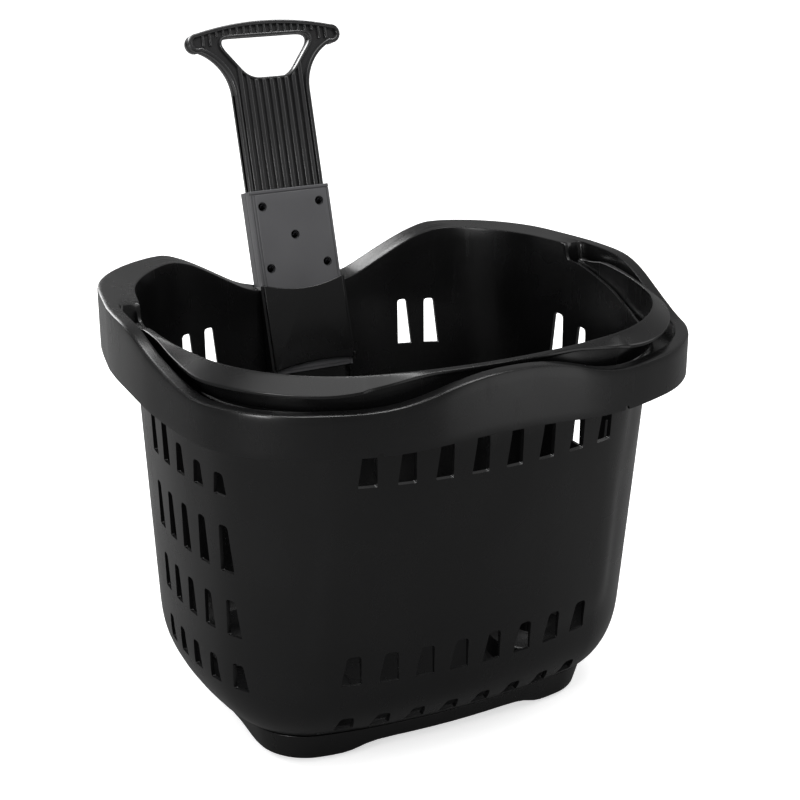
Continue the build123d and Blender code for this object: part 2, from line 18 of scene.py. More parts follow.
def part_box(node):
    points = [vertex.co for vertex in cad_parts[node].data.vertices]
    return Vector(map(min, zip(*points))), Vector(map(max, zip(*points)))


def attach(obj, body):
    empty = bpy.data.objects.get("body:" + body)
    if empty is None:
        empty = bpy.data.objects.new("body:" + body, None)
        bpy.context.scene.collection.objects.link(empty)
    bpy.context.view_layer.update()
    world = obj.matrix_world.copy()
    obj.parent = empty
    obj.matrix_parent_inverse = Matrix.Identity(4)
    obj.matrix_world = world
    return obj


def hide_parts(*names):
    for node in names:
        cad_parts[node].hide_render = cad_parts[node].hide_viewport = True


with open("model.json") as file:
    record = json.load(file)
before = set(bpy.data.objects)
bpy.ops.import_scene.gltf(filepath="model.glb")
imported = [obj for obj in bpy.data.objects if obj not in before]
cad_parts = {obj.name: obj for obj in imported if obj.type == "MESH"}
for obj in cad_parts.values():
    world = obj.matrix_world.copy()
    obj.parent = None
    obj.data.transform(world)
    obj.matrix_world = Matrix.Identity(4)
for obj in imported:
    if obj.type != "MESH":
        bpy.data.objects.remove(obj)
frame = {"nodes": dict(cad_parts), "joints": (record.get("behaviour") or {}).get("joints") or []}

LOG = logging.getLogger("trolley")
MM = 0.001
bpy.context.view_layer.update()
TUB_LOW, TUB_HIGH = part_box("basket_tub")
TUB_MIDDLE_Y = (TUB_LOW.y + TUB_HIGH.y) / 2
TO_FRAME = Matrix.Translation((0, TUB_MIDDLE_Y, 0)) @ Matrix.Scale(MM, 4)

Outline = list[tuple[float, float]]


class Body(Enum):
    """The rigid bodies that pieces ride on."""

    BASKET = "basket"
    CARRY = "carry_handle_body"
    PULL = "pull_handle_body"


# ------------------------------------------------------------------ materials


def linear(code: str) -> tuple[float, float, float, float]:
    """Turn an sRGB hex colour into linear light.

    Args:
        code: six hex digits, with or without a leading hash.

    Returns:
        Linear red, green and blue, and an alpha of 1.
    """
    digits = code.lstrip("#")
    values = [int(digits[i : i + 2], 16) / 255 for i in (0, 2, 4)]
    light = [v / 12.92 if v <= 0.04045 else ((v + 0.055) / 1.055) ** 2.4 for v in values]
    return light[0], light[1], light[2], 1.0


def add_node(
    tree: bpy.types.NodeTree, kind: str, settings: dict | None = None, links: dict | None = None
) -> bpy.types.Node:
    """Add one node with its settings and incoming links.

    Args:
        tree: node tree that takes the node.
        kind: node type name.
        settings: properties by name, or socket values by socket name or number.
        links: output sockets by the name or number of the input they feed.

    Returns:
        The new node.
    """
    made = tree.nodes.new(kind)
    for key, value in (settings or {}).items():
        if isinstance(key, str) and key not in made.inputs and hasattr(made, key):
            setattr(made, key, value)
        else:
            made.inputs[key].default_value = value
    for key, source in (links or {}).items():
        tree.links.new(source, made.inputs[key])
    return made


def per_metre(size_mm: float) -> float:
    """Texture scale whose features are about this many millimetres across."""
    return 1.0 / (size_mm * MM)


@dataclass(frozen=True)
class MouldedPlastic:
    """Injection moulded thermoplastic: fine mould grain, slow flow unevenness, faint scuffs.

    Attributes:
        name: material name.
        colour: base colour, sRGB hex.
        bloom: slightly lighter colour where the melt cooled last or hands have rubbed.
        roughness: middle roughness.
        spread: how far roughness wanders either side.
        grain_mm: size of the mould grain.
        grain_depth_mm: height of the grain.
        flow_mm: size of the slow unevenness.
        shine: strength of the reflection seen face on, where 0.5 is plain resin.
    """

    name: str
    colour: str
    bloom: str
    roughness: float = 0.36
    spread: float = 0.05
    grain_mm: float = 0.9
    grain_depth_mm: float = 0.012
    flow_mm: float = 70.0
    shine: float = 0.5

    def build(self) -> bpy.types.Material:
        """Make the node material."""
        material = bpy.data.materials.new(self.name)
        material.use_nodes = True
        tree = material.node_tree
        shader = tree.nodes["Principled BSDF"]
        shader.inputs["Specular IOR Level"].default_value = self.shine
        place = add_node(tree, "ShaderNodeTexCoord").outputs["Object"]
        flow = add_node(
            tree, "ShaderNodeTexNoise", {"Scale": per_metre(self.flow_mm), "Detail": 3.0}, {"Vector": place}
        )
        grain = add_node(
            tree, "ShaderNodeTexNoise", {"Scale": per_metre(self.grain_mm), "Detail": 2.0}, {"Vector": place}
        )
        # handling scuffs: long thin upright marks, 6 mm wide and 60 mm long at their widest
        stretched = add_node(
            tree, "ShaderNodeMapping",
            {"Scale": (per_metre(6.0), per_metre(6.0), per_metre(60.0))}, {"Vector": place},
        )
        scuff = add_node(
            tree, "ShaderNodeTexNoise", {"Scale": 1.0, "Detail": 4.0}, {"Vector": stretched.outputs[0]}
        )
        scuff_mask = add_node(
            tree, "ShaderNodeMapRange", {"From Min": 0.6, "From Max": 0.78, "To Min": 0.0, "To Max": 0.45},
            {"Value": scuff.outputs["Fac"]},
        )
        tint = add_node(
            tree, "ShaderNodeMix", {"data_type": "RGBA", 6: linear(self.colour), 7: linear(self.bloom)},
            {0: flow.outputs["Fac"]},
        )
        rubbed = add_node(
            tree, "ShaderNodeMix", {"data_type": "RGBA", 7: linear(self.bloom)},
            {0: scuff_mask.outputs[0], 6: tint.outputs[2]},
        )
        smooth, dull = self.roughness - self.spread, self.roughness + self.spread
        gloss = add_node(
            tree, "ShaderNodeMapRange",
            {"From Min": 0.3, "From Max": 0.7, "To Min": smooth, "To Max": dull},
            {"Value": flow.outputs["Fac"]},
        )
        worn = add_node(
            tree, "ShaderNodeMath", {"operation": "MULTIPLY_ADD", 1: 0.12},
            {0: scuff_mask.outputs[0], 2: gloss.outputs[0]},
        )
        skin = add_node(
            tree, "ShaderNodeBump", {"Strength": 0.5, "Distance": self.grain_depth_mm * MM},
            {"Height": grain.outputs["Fac"]},
        )
        wave = add_node(
            tree, "ShaderNodeBump", {"Strength": 0.6, "Distance": 0.25 * MM},
            {"Height": flow.outputs["Fac"], "Normal": skin.outputs[0]},
        )
        tree.links.new(rubbed.outputs[2], shader.inputs["Base Color"])
        tree.links.new(worn.outputs[0], shader.inputs["Roughness"])
        tree.links.new(wave.outputs[0], shader.inputs["Normal"])
        return material


@dataclass(frozen=True)
class PlatedSteel:
    """Pressed or turned steel under a thin coat: fine drawn lines and small spots in the coat.

    Attributes:
        name: material name.
        colour: coat colour, sRGB hex.
        shade: colour of the duller spots.
        roughness: middle roughness.
        line_mm: spacing of the drawn lines.
    """

    name: str
    colour: str
    shade: str
    roughness: float
    line_mm: float = 0.8

    def build(self) -> bpy.types.Material:
        """Make the node material."""
        material = bpy.data.materials.new(self.name)
        material.use_nodes = True
        tree = material.node_tree
        shader = tree.nodes["Principled BSDF"]
        shader.inputs["Metallic"].default_value = 1.0
        place = add_node(tree, "ShaderNodeTexCoord").outputs["Object"]
        spots = add_node(
            tree, "ShaderNodeTexNoise", {"Scale": per_metre(4.0), "Detail": 5.0}, {"Vector": place}
        )
        drawn = add_node(
            tree, "ShaderNodeMapping",
            {"Scale": (per_metre(self.line_mm), per_metre(self.line_mm), per_metre(30.0))},
            {"Vector": place},
        )
        lines = add_node(
            tree, "ShaderNodeTexNoise", {"Scale": 1.0, "Detail": 2.0}, {"Vector": drawn.outputs[0]}
        )
        tint = add_node(
            tree, "ShaderNodeMix", {"data_type": "RGBA", 6: linear(self.colour), 7: linear(self.shade)},
            {0: spots.outputs["Fac"]},
        )
        smooth, dull = self.roughness - 0.06, self.roughness + 0.08
        gloss = add_node(
            tree, "ShaderNodeMapRange",
            {"From Min": 0.3, "From Max": 0.7, "To Min": smooth, "To Max": dull},
            {"Value": spots.outputs["Fac"]},
        )
        skin = add_node(
            tree, "ShaderNodeBump", {"Strength": 0.4, "Distance": 0.02 * MM}, {"Height": lines.outputs["Fac"]}
        )
        tree.links.new(tint.outputs[2], shader.inputs["Base Color"])
        tree.links.new(gloss.outputs[0], shader.inputs["Roughness"])
        tree.links.new(skin.outputs[0], shader.inputs["Normal"])
        return material


# moulded black polypropylene copolymer, satin: soft wide highlights on near black
POLYPROPYLENE = MouldedPlastic("polypropylene_moulded_black", "#0b0b0b", "#101011", roughness=0.26)
# the same resin from a flat polished tool face, a little smoother. Its mid grey base colour is partly the
# sleeve's own lighter tone and partly painted light on the face that leans back towards the lamps
SLEEVE_GREY_WITH_PAINTED_LIGHT = MouldedPlastic(
    "polypropylene_sleeve_grey_with_painted_light", "#5c5c5e", "#666668", roughness=0.34, grain_mm=0.7, flow_mm=45.0
)
# rib-stiffened handle plate, glass filled: the fibres make it a little greyer
HANDLE_RESIN = MouldedPlastic(
    "polypropylene_glass_filled", "#222223", "#2c2c2d", roughness=0.22, grain_mm=0.6, shine=0.9
)
# castor nylon: dark grey, slightly waxy
NYLON = MouldedPlastic("nylon_moulded_grey", "#2c2c2e", "#353537", roughness=0.42, grain_mm=0.5)
# tyre: moulded thermoplastic rubber, matt with dust in the grain
TYRE_RUBBER = MouldedPlastic(
    "thermoplastic_rubber_moulded", "#1d1d1e", "#2b2a29",
    roughness=0.72, spread=0.08, grain_mm=0.5, grain_depth_mm=0.04,
)
# castor fork: pressed steel, zinc plated: pale and slightly blotchy
ZINC = PlatedSteel("steel_pressed_zinc_plated", "#b9bcc0", "#9ea2a8", roughness=0.34)
# screws: black oxide on turned steel: dark with a sharp small glint
BLACK_OXIDE = PlatedSteel("steel_turned_black_oxide", "#18181a", "#101011", roughness=0.24, line_mm=0.3)


class Finishes:
    """Builds each material once and hands it out by its finish."""

    def __init__(self) -> None:
        """Start with no material built."""
        self._made: dict[str, bpy.types.Material] = {}

    def of(self, finish: MouldedPlastic | PlatedSteel) -> bpy.types.Material:
        """The material of a finish, built on first use."""
        if finish.name not in self._made:
            self._made[finish.name] = finish.build()
        return self._made[finish.name]


FINISHES = Finishes()


# ------------------------------------------------------------------ mesh tools


def new_piece(
    name: str, points: Iterable[Sequence[float]], faces: Iterable[Sequence[int]]
) -> bpy.types.Object:
    """Make a mesh object from millimetre points measured from the middle of the tub.

    Args:
        name: object name.
        points: vertices in millimetres.
        faces: vertex numbers of each face.

    Returns:
        The linked object at the origin, smooth shaded, with its faces turned outwards.
    """
    mesh = bpy.data.meshes.new(name)
    mesh.from_pydata([TO_FRAME @ Vector(p) for p in points], [], [tuple(f) for f in faces])
    piece = bpy.data.objects.new(name, mesh)
    bpy.context.scene.collection.objects.link(piece)
    shell = bmesh.new()
    shell.from_mesh(mesh)
    bmesh.ops.recalc_face_normals(shell, faces=shell.faces)
    shell.to_mesh(mesh)
    shell.free()
    mesh.shade_smooth()
    return piece


def modify(piece: bpy.types.Object, kind: str, **settings: object) -> bpy.types.Modifier:
    """Add a modifier with its settings."""
    modifier = piece.modifiers.new(kind.title(), kind)
    for key, value in settings.items():
        setattr(modifier, key, value)
    return modifier


def subdivide(piece: bpy.types.Object, levels: int) -> None:
    """Round a cage off with a Subdivision Surface, the same in view and render."""
    modify(piece, "SUBSURF", levels=levels, render_levels=levels)


def round_edges(piece: bpy.types.Object, radius: float, segments: int) -> None:
    """Round every edge sharper than 40 degrees by a radius in millimetres."""
    modify(
        piece, "BEVEL", width=radius * MM, segments=segments, limit_method="ANGLE",
        angle_limit=math.radians(40),
    )


def apply_stack(piece: bpy.types.Object) -> None:
    """Replace a piece's mesh by what its modifiers make of it."""
    graph = bpy.context.evaluated_depsgraph_get()
    graph.update()
    mesh = bpy.data.meshes.new_from_object(piece.evaluated_get(graph))
    piece.modifiers.clear()
    piece.data = mesh


def crisp(piece: bpy.types.Object, degrees: float = 38.0) -> None:
    """Shade smooth, with edges sharper than this angle kept crisp."""
    piece.data.shade_smooth()
    piece.data.set_sharp_from_angle(angle=math.radians(degrees))


def join(name: str, parts: Sequence[bpy.types.Object]) -> bpy.types.Object:
    """Join the meshes of several helpers into one piece and remove the helpers."""
    shell = bmesh.new()
    for part in parts:
        shell.from_mesh(part.data)
    mesh = bpy.data.meshes.new(name)
    shell.to_mesh(mesh)
    shell.free()
    for part in parts:
        bpy.data.objects.remove(part)
    piece = bpy.data.objects.new(name, mesh)
    bpy.context.scene.collection.objects.link(piece)
    return piece


def cut(piece: bpy.types.Object, cutter: bpy.types.Object, operation: str = "DIFFERENCE") -> None:
    """Cut a closed helper out of a piece, apply it and remove the helper."""
    modify(piece, "BOOLEAN", operation=operation, object=cutter, solver="EXACT", use_self=False)
    apply_stack(piece)
    bpy.data.objects.remove(cutter)


def dress(
    piece: bpy.types.Object, body: str, finish: MouldedPlastic | PlatedSteel,
    stands_for: Sequence[str] = (),
) -> None:
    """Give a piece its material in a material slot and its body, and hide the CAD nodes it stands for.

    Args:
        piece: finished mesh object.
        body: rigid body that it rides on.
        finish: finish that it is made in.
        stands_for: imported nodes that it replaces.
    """
    piece.data.materials.clear()
    piece.data.materials.append(FINISHES.of(finish))
    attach(piece, body)
    if stands_for:
        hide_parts(*stands_for)
    LOG.info("piece %s rides on %s", piece.name, body)


def ease(value: float) -> float:
    """Smooth step from 0 to 1."""
    value = min(max(value, 0.0), 1.0)
    return value * value * (3 - 2 * value)


def arc(
    start: tuple[float, float], middle: tuple[float, float], end: tuple[float, float], count: int
) -> Outline:
    """Points along a circular arc through three points, without its last point.

    Args:
        start: first point.
        middle: any point between.
        end: last point, left out of the result.
        count: number of points.

    Returns:
        The points in order.
    """
    (ax, ay), (bx, by), (cx, cy) = start, middle, end
    d = 2 * (ax * (by - cy) + bx * (cy - ay) + cx * (ay - by))
    ux = ((ax**2 + ay**2) * (by - cy) + (bx**2 + by**2) * (cy - ay) + (cx**2 + cy**2) * (ay - by)) / d
    uy = ((ax**2 + ay**2) * (cx - bx) + (bx**2 + by**2) * (ax - cx) + (cx**2 + cy**2) * (bx - ax)) / d
    radius = math.hypot(ax - ux, ay - uy)
    turns = [math.atan2(y - uy, x - ux) for x, y in (start, middle, end)]
    sweep = (turns[2] - turns[0]) % (2 * math.pi)
    if (turns[1] - turns[0]) % (2 * math.pi) > sweep:
        sweep -= 2 * math.pi
    steps = [turns[0] + sweep * i / count for i in range(count)]
    return [(ux + radius * math.cos(turn), uy + radius * math.sin(turn)) for turn in steps]


def circle(radius: float, count: int, centre: tuple[float, float] = (0.0, 0.0)) -> Outline:
    """Points round a circle."""
    x, y = centre
    turns = [math.tau * i / count for i in range(count)]
    return [(x + radius * math.cos(turn), y + radius * math.sin(turn)) for turn in turns]


def round_corners(corners: Sequence[tuple[float, float, float]], steps: int = 4) -> Outline:
    """Closed polygon with each corner rounded by its own radius.

    Args:
        corners: x, y and radius of each corner.
        steps: points along each rounded corner, less one.

    Returns:
        Points of the rounded polygon.
    """
    outline: Outline = []
    for i, (x, y, radius) in enumerate(corners):
        here = Vector((x, y))
        before = Vector(corners[i - 1][:2]) - here
        after = Vector(corners[(i + 1) % len(corners)][:2]) - here
        if radius <= 0:
            outline.append((x, y))
            continue
        half = before.angle(after) / 2
        reach = min(radius / math.tan(half), 0.48 * min(before.length, after.length))
        first, last = here + before.normalized() * reach, here + after.normalized() * reach
        for k in range(steps + 1):
            s = k / steps
            point = first * (1 - s) ** 2 + here * 2 * s * (1 - s) + last * s**2
            outline.append((point.x, point.y))
    return outline


def offset_outline(outline: Outline, distance: float) -> Outline:
    """Move a counter-clockwise outline inwards by a distance, or outwards if it is negative."""
    moved: Outline = []
    for i, (x, y) in enumerate(outline):
        before = Vector((x, y)) - Vector(outline[i - 1])
        after = Vector(outline[(i + 1) % len(outline)]) - Vector((x, y))
        normal = Vector((-before.y, before.x)).normalized() + Vector((-after.y, after.x)).normalized()
        if normal.length < 1e-6:
            normal = Vector((-after.y, after.x))
        normal.normalize()
        moved.append((x + normal.x * distance, y + normal.y * distance))
    return moved


def plate(
    name: str, outlines: Sequence[Outline], low: float, high: float, edge: float, place: Matrix
) -> bpy.types.Object:
    """Flat plate with holes and rounded edges, from a filled and bevelled curve.

    Args:
        name: object name.
        outlines: outer outline first, then holes, in millimetres.
        low: lower face, in millimetres along the place's third axis.
        high: upper face.
        edge: radius of the rounded edges.
        place: matrix from the plate's own millimetres to millimetres about the tub.

    Returns:
        The plate as a mesh object at the origin.
    """
    curve = bpy.data.curves.new(name, "CURVE")
    curve.dimensions, curve.fill_mode = "2D", "BOTH"
    curve.extrude, curve.bevel_depth, curve.offset = (high - low) / 2 - edge, edge, -edge
    curve.bevel_resolution = 2
    for outline in outlines:
        spline = curve.splines.new("POLY")
        spline.points.add(len(outline) - 1)
        for point, (x, y) in zip(spline.points, outline):
            point.co = (x, y, 0, 1)
        spline.use_cyclic_u = True
    helper = bpy.data.objects.new(name + "_curve", curve)
    bpy.context.scene.collection.objects.link(helper)
    graph = bpy.context.evaluated_depsgraph_get()
    graph.update()
    mesh = bpy.data.meshes.new_from_object(helper.evaluated_get(graph))
    bpy.data.objects.remove(helper)
    bpy.data.curves.remove(curve)
    mesh.transform(TO_FRAME @ place @ Matrix.Translation((0, 0, (low + high) / 2)))
    piece = bpy.data.objects.new(name, mesh)
    bpy.context.scene.collection.objects.link(piece)
    shell = bmesh.new()
    shell.from_mesh(mesh)
    bmesh.ops.remove_doubles(shell, verts=shell.verts, dist=0.00001)
    bmesh.ops.recalc_face_normals(shell, faces=shell.faces)
    shell.to_mesh(mesh)
    shell.free()
    crisp(piece)
    return piece


BOX_FACES = ((3, 2, 1, 0), (4, 5, 6, 7), (0, 1, 5, 4), (1, 2, 6, 5), (2, 3, 7, 6), (3, 0, 4, 7))


def bars(name: str, boxes: Iterable[Sequence[float]], place: Matrix) -> bpy.types.Object:
    """Closed boxes in one mesh: each is x low and high, y low and high, z low and high."""
    points: list[Vector] = []
    faces: list[tuple[int, ...]] = []
    for x0, x1, y0, y1, z0, z1 in boxes:
        k = len(points)
        corners = ((x0, y0), (x1, y0), (x1, y1), (x0, y1))
        points += [place @ Vector((x, y, z)) for z in (z0, z1) for x, y in corners]
        faces += [tuple(k + i for i in face) for face in BOX_FACES]
    return new_piece(name, points, faces)


def prisms(
    name: str, outlines: Iterable[Outline], low: float, high: float, place: Matrix
) -> bpy.types.Object:
    """Closed upright prisms over several outlines, in one mesh."""
    points: list[Vector] = []
    faces: list[tuple[int, ...]] = []
    for outline in outlines:
        k, n = len(points), len(outline)
        points += [place @ Vector((x, y, z)) for z in (low, high) for x, y in outline]
        faces += [tuple(reversed(range(k, k + n))), tuple(range(k + n, k + 2 * n))]
        faces += [(k + i, k + (i + 1) % n, k + n + (i + 1) % n, k + n + i) for i in range(n)]
    return new_piece(name, points, faces)


def turned(name: str, profile: Outline, places: Iterable[Matrix], steps: int = 32) -> bpy.types.Object:
    """Turned shapes from one half profile, by a Screw modifier, copied to each place.

    Args:
        name: object name.
        profile: radius and height in millimetres, from top to bottom at +X.
        places: matrices from the shape's own millimetres to millimetres about the tub.
        steps: facets round the axis.

    Returns:
        One mesh object at the origin that holds every copy.
    """
    mesh = bpy.data.meshes.new(name)
    mesh.from_pydata([(r, 0, z) for r, z in profile], [(i, i + 1) for i in range(len(profile) - 1)], [])
    master = bpy.data.objects.new(name + "_master", mesh)
    bpy.context.scene.collection.objects.link(master)
    modify(master, "SCREW", steps=steps, render_steps=steps, use_merge_vertices=True, merge_threshold=0.001)
    apply_stack(master)
    shell = bmesh.new()
    for place in places:
        copy = master.data.copy()
        copy.transform(TO_FRAME @ place)
        shell.from_mesh(copy)
        bpy.data.meshes.remove(copy)
    bpy.data.objects.remove(master)
    bmesh.ops.recalc_face_normals(shell, faces=shell.faces)
    made = bpy.data.meshes.new(name)
    shell.to_mesh(made)
    shell.free()
    piece = bpy.data.objects.new(name, made)
    bpy.context.scene.collection.objects.link(piece)
    crisp(piece)
    return piece


# ------------------------------------------------------------------ outlines in plan


@dataclass(frozen=True)
class Plan:
    """Plan outline of four shallow arcs joined by four tangent corner arcs, in millimetres.

    Attributes:
        half_x: half width.
        half_y: half depth.
        front_radius: radius of the front and back arcs.
        side_radius: radius of the side arcs.
        corner_radius: radius of the corner arcs.
    """

    half_x: float
    half_y: float
    front_radius: float
    side_radius: float
    corner_radius: float

    def grown(self, margin: float) -> "Plan":
        """The outline moved outwards by a margin, all arcs still tangent."""
        return Plan(
            self.half_x + margin, self.half_y + margin, self.front_radius + margin,
            self.side_radius + margin, self.corner_radius + margin,
        )

    def towards(self, other: "Plan", share: float) -> "Plan":
        """The outline part of the way to another one."""
        mix = lambda a, b: a + (b - a) * share
        return Plan(
            mix(self.half_x, other.half_x), mix(self.half_y, other.half_y),
            mix(self.front_radius, other.front_radius), mix(self.side_radius, other.side_radius),
            mix(self.corner_radius, other.corner_radius),
        )

    def point(self, turn: float) -> tuple[float, float]:
        """Point of the first quadrant whose outward normal is turned this far from +Y to +X."""
        gap_y, gap_x = self.half_y - self.front_radius, self.half_x - self.side_radius
        span = math.hypot(gap_x, gap_y)
        reach_f, reach_s = self.front_radius - self.corner_radius, self.side_radius - self.corner_radius
        along = (reach_f**2 - reach_s**2 + span**2) / (2 * span)
        across = math.sqrt(reach_f**2 - along**2)
        centre_x = along * gap_x / span - across * gap_y / span
        centre_y = gap_y - along * gap_y / span - across * gap_x / span
        if turn < math.atan2(centre_x, centre_y - gap_y):
            return self.front_radius * math.sin(turn), gap_y + self.front_radius * math.cos(turn)
        if turn < math.atan2(centre_x - gap_x, centre_y):
            radius = self.corner_radius
            return centre_x + radius * math.sin(turn), centre_y + radius * math.cos(turn)
        return gap_x + self.side_radius * math.sin(turn), self.side_radius * math.cos(turn)


SIDE_REACH = 55.0


@dataclass(frozen=True)
class Station:
    """A place round the outline, the same for every plan.

    Attributes:
        share: 0 at the middle of front or back to 1 where the level side stretch begins.
        sign_x: side of the object.
        sign_y: -1 for the front half, 1 for the back half.
        level_y: depth of a station on a side stretch, or None.
    """

    share: float
    sign_x: int
    sign_y: int
    level_y: float | None = None

    def on(self, plan: Plan) -> tuple[float, float]:
        """The station's point on a plan outline."""
        if self.level_y is not None:
            gap_x = plan.half_x - plan.side_radius
            return self.sign_x * (gap_x + math.sqrt(plan.side_radius**2 - self.level_y**2)), self.level_y
        x, y = plan.point(self.share * math.acos(SIDE_REACH / plan.side_radius))
        return self.sign_x * x, self.sign_y * y


SHARES = (
    0.0, 0.045, 0.088, 0.103, 0.118, 0.155, 0.195, 0.22, 0.2285, 0.237, 0.26, 0.30, 0.35, 0.40, 0.45, 0.50,
    0.55, 0.60, 0.65, 0.70, 0.75, 0.80, 0.85, 0.92, 1.0,
)
SIDE_LEVELS = (-44.0, -33.0, -22.0, -8.0, 8.0, 22.0, 33.0, 42.0, 49.4, 50.6)


def stations_around() -> list[Station]:
    """All stations, once round from the middle of the front towards +X."""
    around = [Station(s, 1, -1) for s in SHARES]
    around += [Station(1, 1, 1, y) for y in SIDE_LEVELS]
    around += [Station(s, 1, 1) for s in reversed(SHARES)]
    around += [Station(s, -1, 1) for s in SHARES[1:]]
    around += [Station(1, -1, 1, y) for y in reversed(SIDE_LEVELS)]
    around += [Station(s, -1, -1) for s in reversed(SHARES[1:])]
    return around


def rounded_section(corners: Sequence[tuple[Vector, float]], closed: bool) -> list[Vector]:
    """Cage points of a section: three by each rounded corner, one by each plain point."""
    points: list[Vector] = []
    count = len(corners)
    for i, (corner, radius) in enumerate(corners):
        if radius <= 0 or (not closed and i in (0, count - 1)):
            points.append(corner)
            continue
        for other in (corners[i - 1][0], None, corners[(i + 1) % count][0]):
            if other is None:
                points.append(corner)
            else:
                way = other - corner
                points.append(corner + way * min(radius / max(way.length, 1e-6), 0.4))
    return points


def sweep(name: str, sections: Sequence[Sequence[Vector]], ring: bool, closed: bool) -> bpy.types.Object:
    """Skin between sections.

    Args:
        name: object name.
        sections: the same number of points at every station.
        ring: whether the last station joins the first; otherwise both ends are capped.
        closed: whether each section is a closed loop; otherwise its two ends are capped as floors.

    Returns:
        The closed cage.
    """
    count, size = len(sections), len(sections[0])
    points = [p for section in sections for p in section]
    faces: list[tuple[int, ...]] = []
    for i in range(count if ring else count - 1):
        j = (i + 1) % count
        for k in range(size if closed else size - 1):
            m = (k + 1) % size
            faces.append((i * size + k, j * size + k, j * size + m, i * size + m))
    if not ring:
        faces += [tuple(range(size)), tuple((count - 1) * size + k for k in reversed(range(size)))]
    if not closed:
        faces.append(tuple(i * size for i in range(count)))
        faces.append(tuple(i * size + size - 1 for i in reversed(range(count))))
    return new_piece(name, points, faces)


# ------------------------------------------------------------------ handle frame


class HandleFrame:
    """The leaning frame of the pull handle: x across, y up along it, z out of its front face."""

    def __init__(self, origin_y: float = 210.1, origin_z: float = 398.4) -> None:
        """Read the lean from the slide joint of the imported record.

        Args:
            origin_y: depth of the frame's origin, from the middle of the tub.
            origin_z: height of the frame's origin.
        """
        slide = next(j for j in frame["joints"] if j["name"] == "pull_handle_slide")
        along = Vector(slide["axis"]).normalized()
        across = Vector((1, 0, 0))
        self.matrix = Matrix.Translation((0, origin_y, origin_z)) @ Matrix(
            (across, along, across.cross(along))
        ).transposed().to_4x4()


HANDLE = HandleFrame()


# ------------------------------------------------------------------ basket tub


